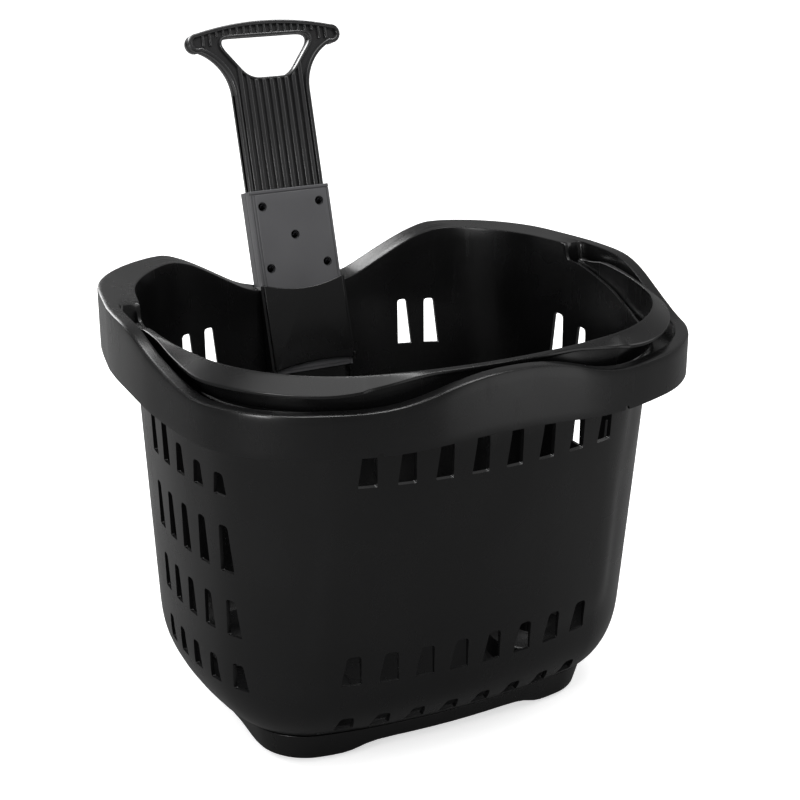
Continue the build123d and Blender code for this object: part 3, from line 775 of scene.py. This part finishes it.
@dataclass
class Tub:
    """The slotted tub with its wavy turned-over rim and the channel for the carry handle."""

    rim: Plan = Plan(251.0, 228.0, 440.0, 440.0, 120.0)
    wall_top: Plan = Plan(224.0, 202.0, 454.0, 338.0, 144.0)
    wall_low: Plan = Plan(214.3, 165.5, 454.0, 338.0, 110.0)
    floor: Plan = Plan(176.0, 127.0, 600.0, 500.0, 60.0)
    wall: float = 3.0
    floor_z: float = 33.0
    low_z: float = 100.0
    top_z: float = 340.0
    flange: float = 12.0
    channel_z: float = 358.0
    channel_end_y: float = 50.0
    slot_pitch: float = 32.4
    slot_width: float = 16.6
    side_slot_width: float = 14.5
    side_slots_y: tuple[float, ...] = (17.0, -11.5, -40.0, -68.5, -97.0)
    left_heads: tuple[float, ...] = (334.0, 334.0, 303.0, 297.0, 295.0)
    right_slots: tuple[tuple[float, float, float], ...] = (
        (56.0, 19.0, 328.0), (20.0, 19.0, 323.0), (-16.0, 15.0, 303.0), (-48.0, 15.0, 297.0),
        (-80.0, 15.0, 295.0),
    )
    panel_half: float = 145.0
    panel_step: float = 2.0
    castor_x: float = 118.0
    castor_y: float = 63.0
    well_radius: float = 38.0
    bottom_turn: float = math.radians(64.0)

    def rim_height(self, x: float, y: float) -> float:
        """Height of the rim: low front corners, a front hump, high back corners, a back dip."""
        level = 370.0 + 31.0 * ease((y + 115) / 120) - 3 * ease(y / 190)
        hump = 23.0 * ease(1 - (abs(x) - 15) / 100) * ease((-y - 120) / 40)
        dip = 54.0 * ease(1 - (abs(x) - 25) / 130) * ease((y - 120) / 40)
        return level + hump - dip

    def skirt_height(self, x: float, y: float) -> float:
        """Height of the skirt's lower edge, which follows the rim at a third of its wave."""
        return 333.0 + (self.rim_height(x, y) - 370.0) * 0.36

    def wall_height(self, y: float) -> float:
        """Height of the channel's inner wall: low in front, stepped up beside the hinge pins."""
        return 359.0 + 8.0 * ease((y + 110) / 85) + 18.0 * min(max((y + 60) / 90, 0.0), 1.0)

    def wall_plan(self, z: float) -> Plan:
        """Outer plan of the wall at a height."""
        share = (z - self.low_z) / (self.top_z - self.low_z)
        return self.wall_low.towards(self.wall_top, min(max(share, 0.0), 1.0))

    def panel(self, station: Station, z: float) -> float:
        """How far the plain front panel stands out at a place of the wall."""
        x, y = station.on(self.wall_plan(z))
        if y > 0:
            return 0.0
        across = ease((self.panel_half + 2.0 - abs(x)) / 4.0)
        return self.panel_step * across * ease((z - 108) / 22) * ease((338 - z) / 8)

    def side_points(self, station: Station, margin: float, floor_z: float, panelled: bool) -> list[Vector]:
        """Wall points of one face from the floor up: curved bottom edge, then the straight taper."""
        points = [Vector((*station.on(self.floor.grown(margin - 9)), floor_z))]
        for step in range(5, -1, -1):
            turn = self.bottom_turn * step / 5
            rise = (self.low_z - floor_z) * math.sin(turn) / math.sin(self.bottom_turn)
            plan = self.wall_low.towards(self.floor, (1 - math.cos(turn)) / (1 - math.cos(self.bottom_turn)))
            points.append(Vector((*station.on(plan.grown(margin)), self.low_z - rise)))
        for z in (108.0, 118.0, 130.0, 165.0, 205.0, 245.0, 285.0, 318.0, 328.0):
            extra = self.panel(station, z) if panelled else 0.0
            points.append(Vector((*station.on(self.wall_plan(z).grown(margin + extra)), z)))
        return points

    def section(self, station: Station) -> list[Vector]:
        """Cage section of wall and rim at one station, from under the floor round to its top."""

        def corner(
            plan: Plan, height: Callable[[float, float], float] | float, radius: float
        ) -> tuple[Vector, float]:
            """One corner of the rim section."""
            x, y = station.on(plan)
            z = height(x, y) if callable(height) else height
            return Vector((x, y, z)), radius

        t, rim, top = self.wall, self.rim, self.wall_top
        under = lambda x, y: self.rim_height(x, y) - t
        channelled = station.on(rim)[1] < self.channel_end_y
        if channelled:
            ridge = lambda x, y: min(self.wall_height(y), self.rim_height(x, y))
            trough = [
                corner(top, self.channel_z - t, 1.5),
                corner(rim.grown(t - self.flange), self.channel_z - t, 1.5),
                corner(rim.grown(t - self.flange), under, 0.8),
            ]
            channel = [
                corner(rim.grown(-self.flange), self.rim_height, 1.4),
                corner(rim.grown(-self.flange), self.channel_z, 1.5),
                corner(top, self.channel_z, 1.5),
                corner(top, ridge, 0.9),
                corner(top.grown(-t), ridge, 0.9),
            ]
        else:
            across = lambda share: rim.grown(-self.flange).towards(top, share)
            trough = [corner(across(s), under, 0.5) for s in (0.95, 0.5, 0.05)]
            channel = [corner(across(s), self.rim_height, 0.5) for s in (0.0, 0.3, 0.6, 0.95)]
            channel.append(corner(top.grown(-t), self.rim_height, 2.2))
        corners = [(p, 0.0) for p in self.side_points(station, 0.0, self.floor_z, True)]
        corners += trough
        corners += [
            corner(rim.grown(-t), under, 2.5),
            corner(rim.grown(-t), self.skirt_height, 0.9),
            corner(rim, self.skirt_height, 0.9),
            corner(rim, self.rim_height, 3.4),
        ]
        corners += channel
        inner = self.side_points(station, -t, self.floor_z + t, False)
        corners += [(p, 0.0) for p in reversed(inner)]
        return rounded_section(corners, closed=False)

    def slot(self, centre: float, width: float, low: float, high: float) -> Outline:
        """Wall slot: level sill, sides that lean in, rounded head."""
        return round_corners(
            [
                (centre - width / 2, low, 1.0), (centre + width / 2, low, 1.0),
                (centre + width * 0.33, high, width * 0.26), (centre - width * 0.33, high, width * 0.26),
            ]
        )

    def cut_slots(self, shell: bpy.types.Object) -> None:
        """Cut every slot of the four walls."""
        row = [self.slot_pitch * (i - 3.5) for i in range(8)]
        front = [self.slot(x * 0.99, self.slot_width - 1, 295.4, 337) for x in row]
        front += [self.slot(x, self.slot_width + 1, a, b) for x in row for a, b in ((98.8, 130), (46, 62))]
        back = [self.slot(x, self.slot_width - 2.5, 277, 323) for x in (-132.5, -106, 106, 132.5)]
        left = [
            self.slot(y, self.side_slot_width, 274.4, h) for y, h in zip(self.side_slots_y, self.left_heads)
        ]
        right = [self.slot(y, w, 274.4, h) for y, w, h in self.right_slots]
        rows = [
            self.slot(y, self.side_slot_width, a, b)
            for y in self.side_slots_y
            for a, b in ((203, 247), (141.2, 176.2), (87.9, 114))
        ]
        upright = Matrix(((1, 0, 0, 0), (0, 0, 1, 0), (0, 1, 0, 0), (0, 0, 0, 1)))
        sideways = Matrix(((0, 0, 1, 0), (1, 0, 0, 0), (0, 1, 0, 0), (0, 0, 0, 1)))
        cutters = [
            prisms("cut_front", front, -213, -80, upright),
            prisms("cut_back", back, 80, 213, upright),
            prisms("cut_left", left + rows, -237, -120, sideways),
            prisms("cut_right", right + rows, 120, 237, sideways),
        ]
        cut(shell, join("cut_slots", cutters))

    def cut_recess(self, shell: bpy.types.Object) -> None:
        """Cut the recess of the pull handle out of the rim and the back wall."""
        cut(shell, bars("cut_recess", [(-46, 46, -212, 90, -26.4, 120)], HANDLE.matrix))

    def castor_places(self) -> list[tuple[float, float]]:
        """Middles of the four castor wells in plan."""
        return [(sx * self.castor_x, sy * self.castor_y) for sx in (-1, 1) for sy in (-1, 1)]

    def cut_wells(self, shell: bpy.types.Object) -> None:
        """Cut the round holes that the castors reach up through."""
        outlines = [circle(self.well_radius, 48, place) for place in self.castor_places()]
        cut(shell, prisms("cut_wells", outlines, 20, 45, Matrix.Identity(4)))

    def pocket(self) -> bpy.types.Object:
        """Back plate and cheeks that close the recess behind the pull handle."""
        outer = bars("recess_pocket", [(-49, 49, -215, -53, -29.4, -10)], HANDLE.matrix)
        cut(outer, bars("cut_pocket", [(-46, 46, -212, 90, -26.4, 120)], HANDLE.matrix))
        inner = sweep(
            "cut_inside",
            [self.side_points(s, -self.wall, self.floor_z + self.wall, False)
             + [Vector((*s.on(self.wall_top.grown(-self.wall)), 460.0))] for s in stations_around()],
            ring=True, closed=False,
        )
        cut(outer, inner)
        return outer

    def wells(self) -> bpy.types.Object:
        """Domed covers over the castors, each with its boss for the stem bush."""
        r, t = self.well_radius, self.wall
        profile = [
            (0.001, 71), (8.5, 71), (9.5, 70), (9.8, 58), (11.5, 57), (r + t - 3, 57), (r + t - 0.8, 56.2),
            (r + t, 54), (r + t + 0.6, 37.5), (r + t + 2.2, 36.2), (r + t + 2.2, 34), (r, 34), (r, 53),
            (r - 1, 54), (7.2, 54), (7.2, 68), (0.001, 68),
        ]
        places = [Matrix.Translation((x, y, 0)) for x, y in self.castor_places()]
        return turned("castor_wells", profile, places, steps=48)

    def build(self) -> None:
        """Build, cut and dress the tub."""
        sections = [self.section(station) for station in stations_around()]
        shell = sweep("basket_tub_shell", sections, ring=True, closed=False)
        subdivide(shell, 1)
        apply_stack(shell)
        self.cut_slots(shell)
        self.cut_recess(shell)
        self.cut_wells(shell)
        crisp(shell, 42.0)
        dress(shell, Body.BASKET.value, POLYPROPYLENE, ("basket_tub",))
        pocket = self.pocket()
        round_edges(pocket, 0.8, 2)
        dress(pocket, Body.BASKET.value, POLYPROPYLENE)
        dress(self.wells(), Body.BASKET.value, POLYPROPYLENE)


# ------------------------------------------------------------------ plinth


@dataclass
class Plinth:
    """The skirted base ring with four corner housings and low arches between them."""

    top: Plan = Plan(176.0, 127.0, 600.0, 500.0, 60.0)
    foot: Plan = Plan(168.0, 119.0, 592.0, 492.0, 50.0)
    wall: float = 3.0
    foot_z: float = 6.0
    top_z: float = 33.0
    arch_z: float = 17.0

    def edge_height(self, x: float, y: float) -> float:
        """Height of the lower edge: down at the corner housings, up in the arches."""
        front = ease((100 - abs(x)) / 24) if abs(y) > 60 else 0.0
        side = ease((56 - abs(y)) / 24)
        return self.foot_z + (self.arch_z - self.foot_z) * max(front, side)

    def section(self, station: Station) -> list[Vector]:
        """Closed cage section at one station."""
        low = self.edge_height(*station.on(self.foot))
        share = (low - self.foot_z) / (self.top_z - self.foot_z)
        at = lambda plan, z: Vector((*station.on(plan), z))
        edge = self.foot.towards(self.top, share)
        middle = self.foot.towards(self.top, (share + 1) / 2)
        z_mid = (low + self.top_z) / 2
        corners = [
            (at(self.top, self.top_z - 0.3), 0.8),
            (at(middle, z_mid), 0.0),
            (at(edge, low), 1.2),
            (at(edge.grown(-self.wall), low), 1.2),
            (at(middle.grown(-self.wall), z_mid), 0.0),
            (at(self.top.grown(-self.wall), 30.0), 1.0),
            (at(self.top.grown(-13.5), 30.0), 0.6),
            (at(self.top.grown(-13.5), self.top_z - 0.3), 0.6),
        ]
        return rounded_section(corners, closed=True)

    def build(self) -> None:
        """Build and dress the plinth."""
        sections = [self.section(station) for station in stations_around()]
        piece = sweep("base_plinth_ring", sections, ring=True, closed=True)
        subdivide(piece, 1)
        dress(piece, Body.BASKET.value, POLYPROPYLENE, ("base_plinth",))


# ------------------------------------------------------------------ carry handle


@dataclass
class CarryHandle:
    """The folding carry handle: an upright web with an outward shoulder, hinged at its ends."""

    tub: Tub
    gap: float = 1.2
    web: float = 3.2
    bottom_z: float = 364.0
    top_z: float = 393.5
    pivot_y: float = 32.0
    pivot_z: float = 377.0
    boss_radius: float = 12.0
    eye_x: float = 223.6

    def corner_share(self, x: float, y: float) -> float:
        """1 at the front corners, 0 at the middle of the front and at the sides."""
        return ease((abs(x) - 55) / 95) * ease((-y - 15) / 95)

    def section(self, station: Station) -> list[Vector]:
        """Closed cage section at one station."""
        inner = self.tub.wall_top.grown(self.gap)
        x, y = station.on(inner)
        share = self.corner_share(x, y)
        side = ease((y + 60) / 60)
        room = (Vector(station.on(self.tub.rim.grown(-13.2))) - Vector((x, y))).length - 0.4
        reach = min(5.6 + 10.4 * share + 0.4 * side, room)
        # the arm is faired down into its round end
        fall = ease((y + 4) / 28)
        top = self.top_z - (self.top_z - self.pivot_z - self.boss_radius) * fall
        outer_z = top - 0.6 - 10.5 * share
        low = self.bottom_z + fall
        under = min(outer_z - 3.0, top - 4.0)
        at = lambda margin, z: Vector((*station.on(inner.grown(margin)), z))
        corners = [
            (at(0, low), 1.0),
            (at(0, top), 1.1),
            (at(min(2.2, reach / 2), top - 0.1 - 0.5 * share), 0.0),
            (at(reach, outer_z), 1.2),
            (at(reach, outer_z - 2.8), 1.0),
            (at(self.web, under), 1.2),
            (at(self.web, low), 1.0),
        ]
        return rounded_section(corners, closed=True)

    def build(self) -> None:
        """Build and dress the carry handle and its two eyes."""
        levels = (-44.0, -33.0, -22.0, -8.0, 2.0, 10.0, 18.0, 26.0, 32.0)
        path = [Station(1, -1, 1, y) for y in reversed(levels)]
        path += [Station(s, -1, -1) for s in reversed(SHARES[1:])]
        path += [Station(s, 1, -1) for s in SHARES]
        path += [Station(1, 1, 1, y) for y in levels]
        arm = sweep("carry_handle_arm", [self.section(s) for s in path], ring=False, closed=True)
        subdivide(arm, 2)
        dress(arm, Body.CARRY.value, POLYPROPYLENE, ("carry_handle",))
        r = self.boss_radius
        profile = [
            (0.001, 7.2), (5.0, 7.2), (5.6, 6.6), (r - 2.4, 6.6), (r - 0.8, 6.2), (r, 5.2), (r, 1.6),
            (r - 0.8, 0.6), (r - 2, 0.2), (0.001, 0.2),
        ]
        turn = Matrix.Rotation(math.radians(90), 4, "Y")
        places = [
            Matrix.Translation((-self.eye_x, self.pivot_y, self.pivot_z)) @ turn.inverted(),
            Matrix.Translation((self.eye_x, self.pivot_y, self.pivot_z)) @ turn,
        ]
        dress(turned("carry_handle_eyes", profile, places), Body.CARRY.value, POLYPROPYLENE)


# ------------------------------------------------------------------ pull handle and its guide


@dataclass
class PullHandle:
    """Ribbed plate with a grip, clamped in a two-shell sleeve by five screws."""

    half: float = 40.0
    front: float = -4.0
    back: float = -19.0
    bottom: float = -70.0
    rib_pitch: float = 8.0
    finger_pitch: float = 7.3
    sleeve_half: float = 43.0
    sleeve_top: float = 47.0
    sleeve_bottom: float = -137.0
    split: float = -11.5
    recess_radius: float = 4.6

    def outline(self) -> Outline:
        """Outline of the plate and its grip, counter-clockwise."""
        h = self.half
        points: Outline = [(-h, self.bottom), (h, self.bottom), (h, 60.0), (h, 110.0)]
        points += arc((h, 143), (47.5, 169), (69, 187.5), 12)
        points += arc((69, 187.5), (81.2, 197.0), (72, 205.5), 10)
        points += arc((72, 205.5), (0, 214), (-72, 205.5), 24)
        points += arc((-72, 205.5), (-81.2, 197.0), (-69, 187.5), 10)
        points += arc((-69, 187.5), (-47.5, 169), (-h, 143), 12)
        points += [(-h, 143), (-h, 110.0), (-h, 60.0)]
        return points

    def opening(self) -> Outline:
        """Outline of the grip's opening."""
        return round_corners([(-22, 158.5, 24), (22, 158.5, 24), (54, 199.5, 9), (-54, 199.5, 9)], steps=8)

    def rib_top(self, x: float) -> float:
        """Upper end of a long rib at this place across, where it meets the border of the opening."""
        return 158.0 + max(0.0, abs(x) - 21.5) * 1.27 - 1.0

    def plate_piece(self) -> bpy.types.Object:
        """Web, outer border and the border of the opening, as one moulding."""
        outline, opening = self.outline(), self.opening()
        web = plate("web", [outline, opening], -15.2, -7.8, 1.0, HANDLE.matrix)
        inside, around = offset_outline(outline, 4.0), offset_outline(opening, -2.6)
        border = plate("border", [outline, inside], self.back, self.front, 1.2, HANDLE.matrix)
        ring = plate("ring", [around, opening], self.back + 0.6, self.front - 0.6, 1.0, HANDLE.matrix)
        piece = join("pull_handle_plate", [web, border, ring])
        crisp(piece)
        return piece

    def ribs(self) -> bpy.types.Object:
        """Nine long ribs on both faces and the short finger ribs of the grip."""
        half, foot = 2.1, self.sleeve_top - 6
        outlines: list[Outline] = []
        for i in range(-4, 5):
            x = i * self.rib_pitch
            left, right = x - half, x + half
            head = [(right, self.rib_top(right)), (left, self.rib_top(left))]
            outlines.append([(left, foot), (right, foot), *head])
        front = prisms("front_ribs", outlines, -9.0, self.front - 0.5, HANDLE.matrix)
        back = prisms("back_ribs", outlines, self.back + 0.5, -14.0, HANDLE.matrix)
        boxes: list[tuple[float, ...]] = []
        for i in range(-9, 10):
            x = i * self.finger_pitch
            edge = 214.5 - (x / 72) ** 2 * 8.5 - 2.5
            foot = 200.5 if abs(x) < 53 else 192.0 + max(0.0, abs(x) - 66) * 0.8
            boxes.append((x - 1.3, x + 1.3, foot, edge, self.back + 0.8, self.front - 0.8))
        piece = join("pull_handle_ribs", [front, back, bars("finger_ribs", boxes, HANDLE.matrix)])
        round_edges(piece, 0.9, 3)
        crisp(piece)
        return piece

    def sleeve_shell(self) -> bpy.types.Object:
        """Front shell of the sleeve: framed flat face with a round recess at each screw."""
        h, low, high = self.sleeve_half, self.sleeve_bottom, self.sleeve_top
        box = lambda a, b, c, d: [(a, c), (b, c), (b, d), (a, d)]
        shell = plate("shell", [box(-h, h, low, high)], self.split, -1.0, 1.0, HANDLE.matrix)
        collar = plate("collar", [box(-h, h, high - 3.2, high)], -2.5, 0.0, 0.7, HANDLE.matrix)
        face = plate("face", [box(-37.4, 39.6, low + 3, high - 4.0)], -2.5, -0.1, 0.7, HANDLE.matrix)
        rails = [
            plate("rail", [box(a, b, low, high - 4.0)], -2.5, -0.2, 0.5, HANDLE.matrix)
            for a, b in ((-h, -41.2), (-40.0, -38.6), (40.8, h))
        ]
        outlines = [circle(self.recess_radius, 32, place) for place in self.screw_places()]
        for closed_shell in (shell, face):
            cut(closed_shell, prisms("cut_recesses", outlines, -3.4, 5.0, HANDLE.matrix))
        piece = join("sleeve_front_shell", [shell, collar, face, *rails])
        crisp(piece)
        return piece

    def screw_places(self) -> list[tuple[float, float]]:
        """Centres of the five screws: a square and its middle."""
        return [(-30.8, 30.8), (30.8, 30.8), (0.0, 0.0), (-30.8, -30.8), (30.8, -30.8)]

    def screws(self) -> bpy.types.Object:
        """Domed screw heads with a small round drive."""
        profile = [
            (0.001, -1.1), (0.8, -1.1), (1.1, -0.2), (2.0, -0.4), (2.8, -1.0), (3.3, -2.0), (3.4, -3.4),
            (0.001, -3.4),
        ]
        places = [HANDLE.matrix @ Matrix.Translation((x, y, 0)) for x, y in self.screw_places()]
        return turned("sleeve_screw_heads", profile, places, steps=28)

    def build(self) -> None:
        """Build and dress the plate, its ribs, the sleeve and the screws."""
        body = Body.PULL.value
        dress(self.plate_piece(), body, HANDLE_RESIN, ("pull_handle",))
        dress(self.ribs(), body, HANDLE_RESIN)
        dress(self.sleeve_shell(), body, SLEEVE_GREY_WITH_PAINTED_LIGHT, ("sleeve_front",))
        dress(self.screws(), body, BLACK_OXIDE, ("sleeve_screws",))


@dataclass
class Guide:
    """The pocket inside the back wall that the sleeve slides in."""

    half: float = 45.6
    face_half: float = 42.9
    front: float = 4.0
    back: float = -26.3
    top: float = -46.0
    bottom: float = -132.0

    def build(self) -> None:
        """Build and dress the guide: front panel with a curved lip, cheeks and back plate."""
        h = self.face_half
        panel: Outline = [(-h, self.bottom - 1)]
        panel += arc((-h + 1, self.bottom - 1), (0, self.bottom + 4), (h - 1, self.bottom + 2), 16)
        panel += [(h, self.bottom + 2), (h, self.top)]
        panel += arc((h, self.top), (0, self.top - 7.5), (-h, self.top), 20)
        panel += [(-h, self.top)]
        face = plate("panel", [panel], 0.6, self.front, 1.1, HANDLE.matrix)
        tube = bars(
            "tube",
            [
                (-self.half, -self.half + 2.1, self.bottom, self.top - 1, self.back, 1.6),
                (self.half - 2.1, self.half, self.bottom, self.top - 1, self.back, 1.6),
                (-self.half, self.half, self.bottom, self.top - 1, self.back, self.back + 2.4),
            ],
            HANDLE.matrix,
        )
        nub_outline = [(h + 0.4, -128), (h + 2.4, -128), (h + 2.4, -125), (h + 0.4, -125)]
        nub = plate("nub", [nub_outline], 1.0, 5.0, 0.5, HANDLE.matrix)
        piece = join("handle_guide_pocket", [face, tube, nub])
        crisp(piece)
        dress(piece, Body.BASKET.value, POLYPROPYLENE, ("handle_guide",))


# ------------------------------------------------------------------ castors and hardware


class Corner(Enum):
    """The four castor places, with their signs along x and y."""

    FRONT_LEFT = ("front_left", -1, -1)
    FRONT_RIGHT = ("front_right", 1, -1)
    REAR_LEFT = ("rear_left", -1, 1)
    REAR_RIGHT = ("rear_right", 1, 1)


@dataclass
class Castor:
    """One swivel castor: turned tyre and spoked hub over its packed fork, stem and axle."""

    corner: Corner
    radius: float = 20.0
    width: float = 16.0
    hub_radius: float = 14.5

    def build(self) -> None:
        """Build and dress the wheel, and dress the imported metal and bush."""
        name = self.corner.value[0]
        low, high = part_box(f"wheel_tyre_{name}")
        middle = (low + high) / 2
        centre = Vector((middle.x / MM, (middle.y - TUB_MIDDLE_Y) / MM, middle.z / MM))
        place = Matrix.Translation(centre) @ Matrix.Rotation(math.radians(90), 4, "Y")
        r, w, h = self.radius, self.width / 2, self.hub_radius
        tyre = [
            (h, w - 0.6), (h + 1.2, w), (r - 2.6, w), (r - 0.8, w - 1.0), (r, w - 3.0), (r, 0.8),
            (r - 0.5, 0.3), (r - 0.5, -0.3), (r, -0.8), (r, 3.0 - w), (r - 0.8, 1.0 - w), (r - 2.6, -w),
            (h + 1.2, -w), (h, 0.6 - w), (h, w - 0.6),
        ]
        hub = [
            (2.6, w - 0.4), (5.4, w - 0.4), (6.0, w - 1.0), (6.4, w - 3.2), (11.6, w - 3.2),
            (12.2, w - 1.2), (13.0, w - 0.8), (h, w - 0.9), (h, 0.9 - w), (13.0, 0.8 - w),
            (12.2, 1.2 - w), (11.6, 3.2 - w), (6.4, 3.2 - w), (6.0, 1.0 - w), (5.4, 0.4 - w),
            (2.6, 0.4 - w), (2.6, w - 0.4),
        ]
        rubber = turned(f"tyre_{name}", tyre, [place], 48)
        dress(rubber, f"wheel_{name}", TYRE_RUBBER, (f"wheel_tyre_{name}",))
        spokes: list[tuple[float, ...]] = [(5.8, 12.4, -0.8, 0.8, 1.2 - w, w - 1.2)]
        arms = [bars("spoke", spokes, place @ Matrix.Rotation(math.tau * i / 6, 4, "Z")) for i in range(6)]
        wheel = join(f"hub_{name}", [turned("hub", hub, [place], 48), *arms])
        crisp(wheel)
        dress(wheel, f"wheel_{name}", NYLON, (f"wheel_hub_{name}",))
        for node in (f"castor_fork_{name}", f"castor_stem_{name}", f"castor_axle_{name}"):
            dress_node(node, ZINC)
        dress_node(f"stem_bush_{name}", NYLON)


def dress_node(node: str, finish: MouldedPlastic | PlatedSteel) -> None:
    """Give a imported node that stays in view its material."""
    carried = frame["nodes"][node]
    carried.data.materials.clear()
    carried.data.materials.append(FINISHES.of(finish))
    LOG.info("packed node %s stays, in %s", node, finish.name)


# ------------------------------------------------------------------ studio


@dataclass
class Studio:
    """Pale floor, soft lights and the camera.

    Attributes:
        azimuth: camera's turn to the left of the front, degrees.
        elevation: camera's height angle, degrees.
        distance: camera to aim, millimetres.
        aim: point the camera looks at, millimetres from the middle of the tub.
        lens: focal length, millimetres.
        fill: strength of the surroundings as the object sees them.
        sky: strength of the wide lamp above.
        lift: share of the floor's white that shadows never take away.
    """

    azimuth: float = 27.05
    elevation: float = 20.42
    distance: float = 1567.1
    aim: tuple[float, float, float] = (11.08, 1.89, 288.54)
    lens: float = 76.36
    fill: float = 0.22
    sky: float = 1.5
    lift: float = 0.62

    def look(self, holder: bpy.types.Object, target: Vector) -> None:
        """Turn a camera or light so that it looks at a point."""
        holder.rotation_euler = (target - holder.location).to_track_quat("-Z", "Y").to_euler()

    def lamp(
        self, name: str, place: tuple[float, float, float], size: tuple[float, float], power: float
    ) -> None:
        """Add one soft rectangular lamp that looks at the middle of the tub.

        Args:
            name: object name.
            place: middle of the lamp, metres.
            size: width and height, metres.
            power: watts.
        """
        light = bpy.data.lights.new(name, "AREA")
        light.shape, light.size, light.size_y, light.energy = "RECTANGLE", size[0], size[1], power
        holder = bpy.data.objects.new(name, light)
        holder.location = Vector(place)
        bpy.context.scene.collection.objects.link(holder)
        self.look(holder, Vector((0, TUB_MIDDLE_Y, 0.28)))

    def sky_lamp(self) -> None:
        """Add one very wide soft lamp straight above, which keeps the whole floor white."""
        light = bpy.data.lights.new("lamp_sky", "SUN")
        light.energy, light.angle = self.sky, math.radians(70)
        holder = bpy.data.objects.new("lamp_sky", light)
        holder.rotation_euler = (math.radians(14), math.radians(-8), 0)
        bpy.context.scene.collection.objects.link(holder)

    def floor(self) -> None:
        """Add the pale matt floor."""
        mesh = bpy.data.meshes.new("studio_floor")
        reach = 12.0
        corners = [(-reach, -reach, 0), (reach, -reach, 0), (reach, reach, 0), (-reach, reach, 0)]
        mesh.from_pydata(corners, [], [(0, 1, 2, 3)])
        ground = bpy.data.objects.new("studio_floor", mesh)
        bpy.context.scene.collection.objects.link(ground)
        material = bpy.data.materials.new("matt_white_paper")
        material.use_nodes = True
        tree = material.node_tree
        shader = tree.nodes["Principled BSDF"]
        shader.inputs["Roughness"].default_value = 0.9
        # white to the eye, but a dim bounce, so that black resin keeps its depth
        seen = add_node(tree, "ShaderNodeLightPath").outputs["Is Camera Ray"]
        tones = {"data_type": "RGBA", 6: linear("#7c7c7c"), 7: linear("#fafafa")}
        tone = add_node(tree, "ShaderNodeMix", tones, {0: seen})
        lift = add_node(tree, "ShaderNodeMath", {"operation": "MULTIPLY", 1: self.lift}, {0: seen})
        shader.inputs["Emission Color"].default_value = linear("#ffffff")
        tree.links.new(tone.outputs[2], shader.inputs["Base Color"])
        tree.links.new(lift.outputs[0], shader.inputs["Emission Strength"])
        mesh.materials.append(material)

    def build(self) -> None:
        """Build floor, world, lamps and camera."""
        self.floor()
        world = bpy.data.worlds.new("studio_world")
        world.use_nodes = True
        tree = world.node_tree
        fill = tree.nodes["Background"]
        fill.inputs["Color"].default_value = linear("#ffffff")
        fill.inputs["Strength"].default_value = self.fill
        # the backdrop is white to the eye, but lights the object only a little
        white = add_node(tree, "ShaderNodeBackground", {"Color": linear("#ffffff"), "Strength": 1.0})
        seen = add_node(tree, "ShaderNodeLightPath").outputs["Is Camera Ray"]
        mixed = add_node(tree, "ShaderNodeMixShader", {}, {0: seen, 1: fill.outputs[0], 2: white.outputs[0]})
        tree.links.new(mixed.outputs[0], tree.nodes["World Output"].inputs["Surface"])
        bpy.context.scene.world = world
        bpy.context.scene.view_settings.view_transform = "Standard"
        self.lamp("lamp_left", (-1.5, -0.9, 0.65), (0.4, 0.5), 9.0)
        self.lamp("lamp_top", (0.5, 0.3, 2.0), (1.4, 0.2), 9.0)
        self.lamp("lamp_low", (0.5, -1.0, 0.02), (0.8, 0.8), 1.9)
        self.lamp("lamp_back", (-1.0, 2.2, 1.35), (2.6, 0.8), 46.0)
        self.lamp("lamp_right", (1.7, -0.5, 1.0), (0.8, 1.4), 5.0)
        self.sky_lamp()
        target = TO_FRAME @ Vector(self.aim)
        az, el = math.radians(self.azimuth), math.radians(self.elevation)
        way = Vector((-math.sin(az) * math.cos(el), -math.cos(az) * math.cos(el), math.sin(el)))
        camera = bpy.data.cameras.new("camera")
        camera.lens, camera.sensor_width = self.lens, 36.0
        holder = bpy.data.objects.new("camera", camera)
        holder.location = target + way * self.distance * MM
        bpy.context.scene.collection.objects.link(holder)
        self.look(holder, target)
        bpy.context.scene.camera = holder


def main() -> None:
    """Build every class in order."""
    logging.basicConfig(level=logging.INFO, format="%(name)s: %(message)s")
    tub = Tub()
    tub.build()
    Plinth().build()
    CarryHandle(tub).build()
    Guide().build()
    PullHandle().build()
    for corner in Corner:
        Castor(corner).build()
    for node in ("plinth_screws", "guide_screws"):
        dress_node(node, BLACK_OXIDE)
    dress_node("carry_handle_pins", POLYPROPYLENE)
    dress_node("sleeve_rear", SLEEVE_GREY_WITH_PAINTED_LIGHT)
    Studio().build()


if __name__ == "__main__":
    main()
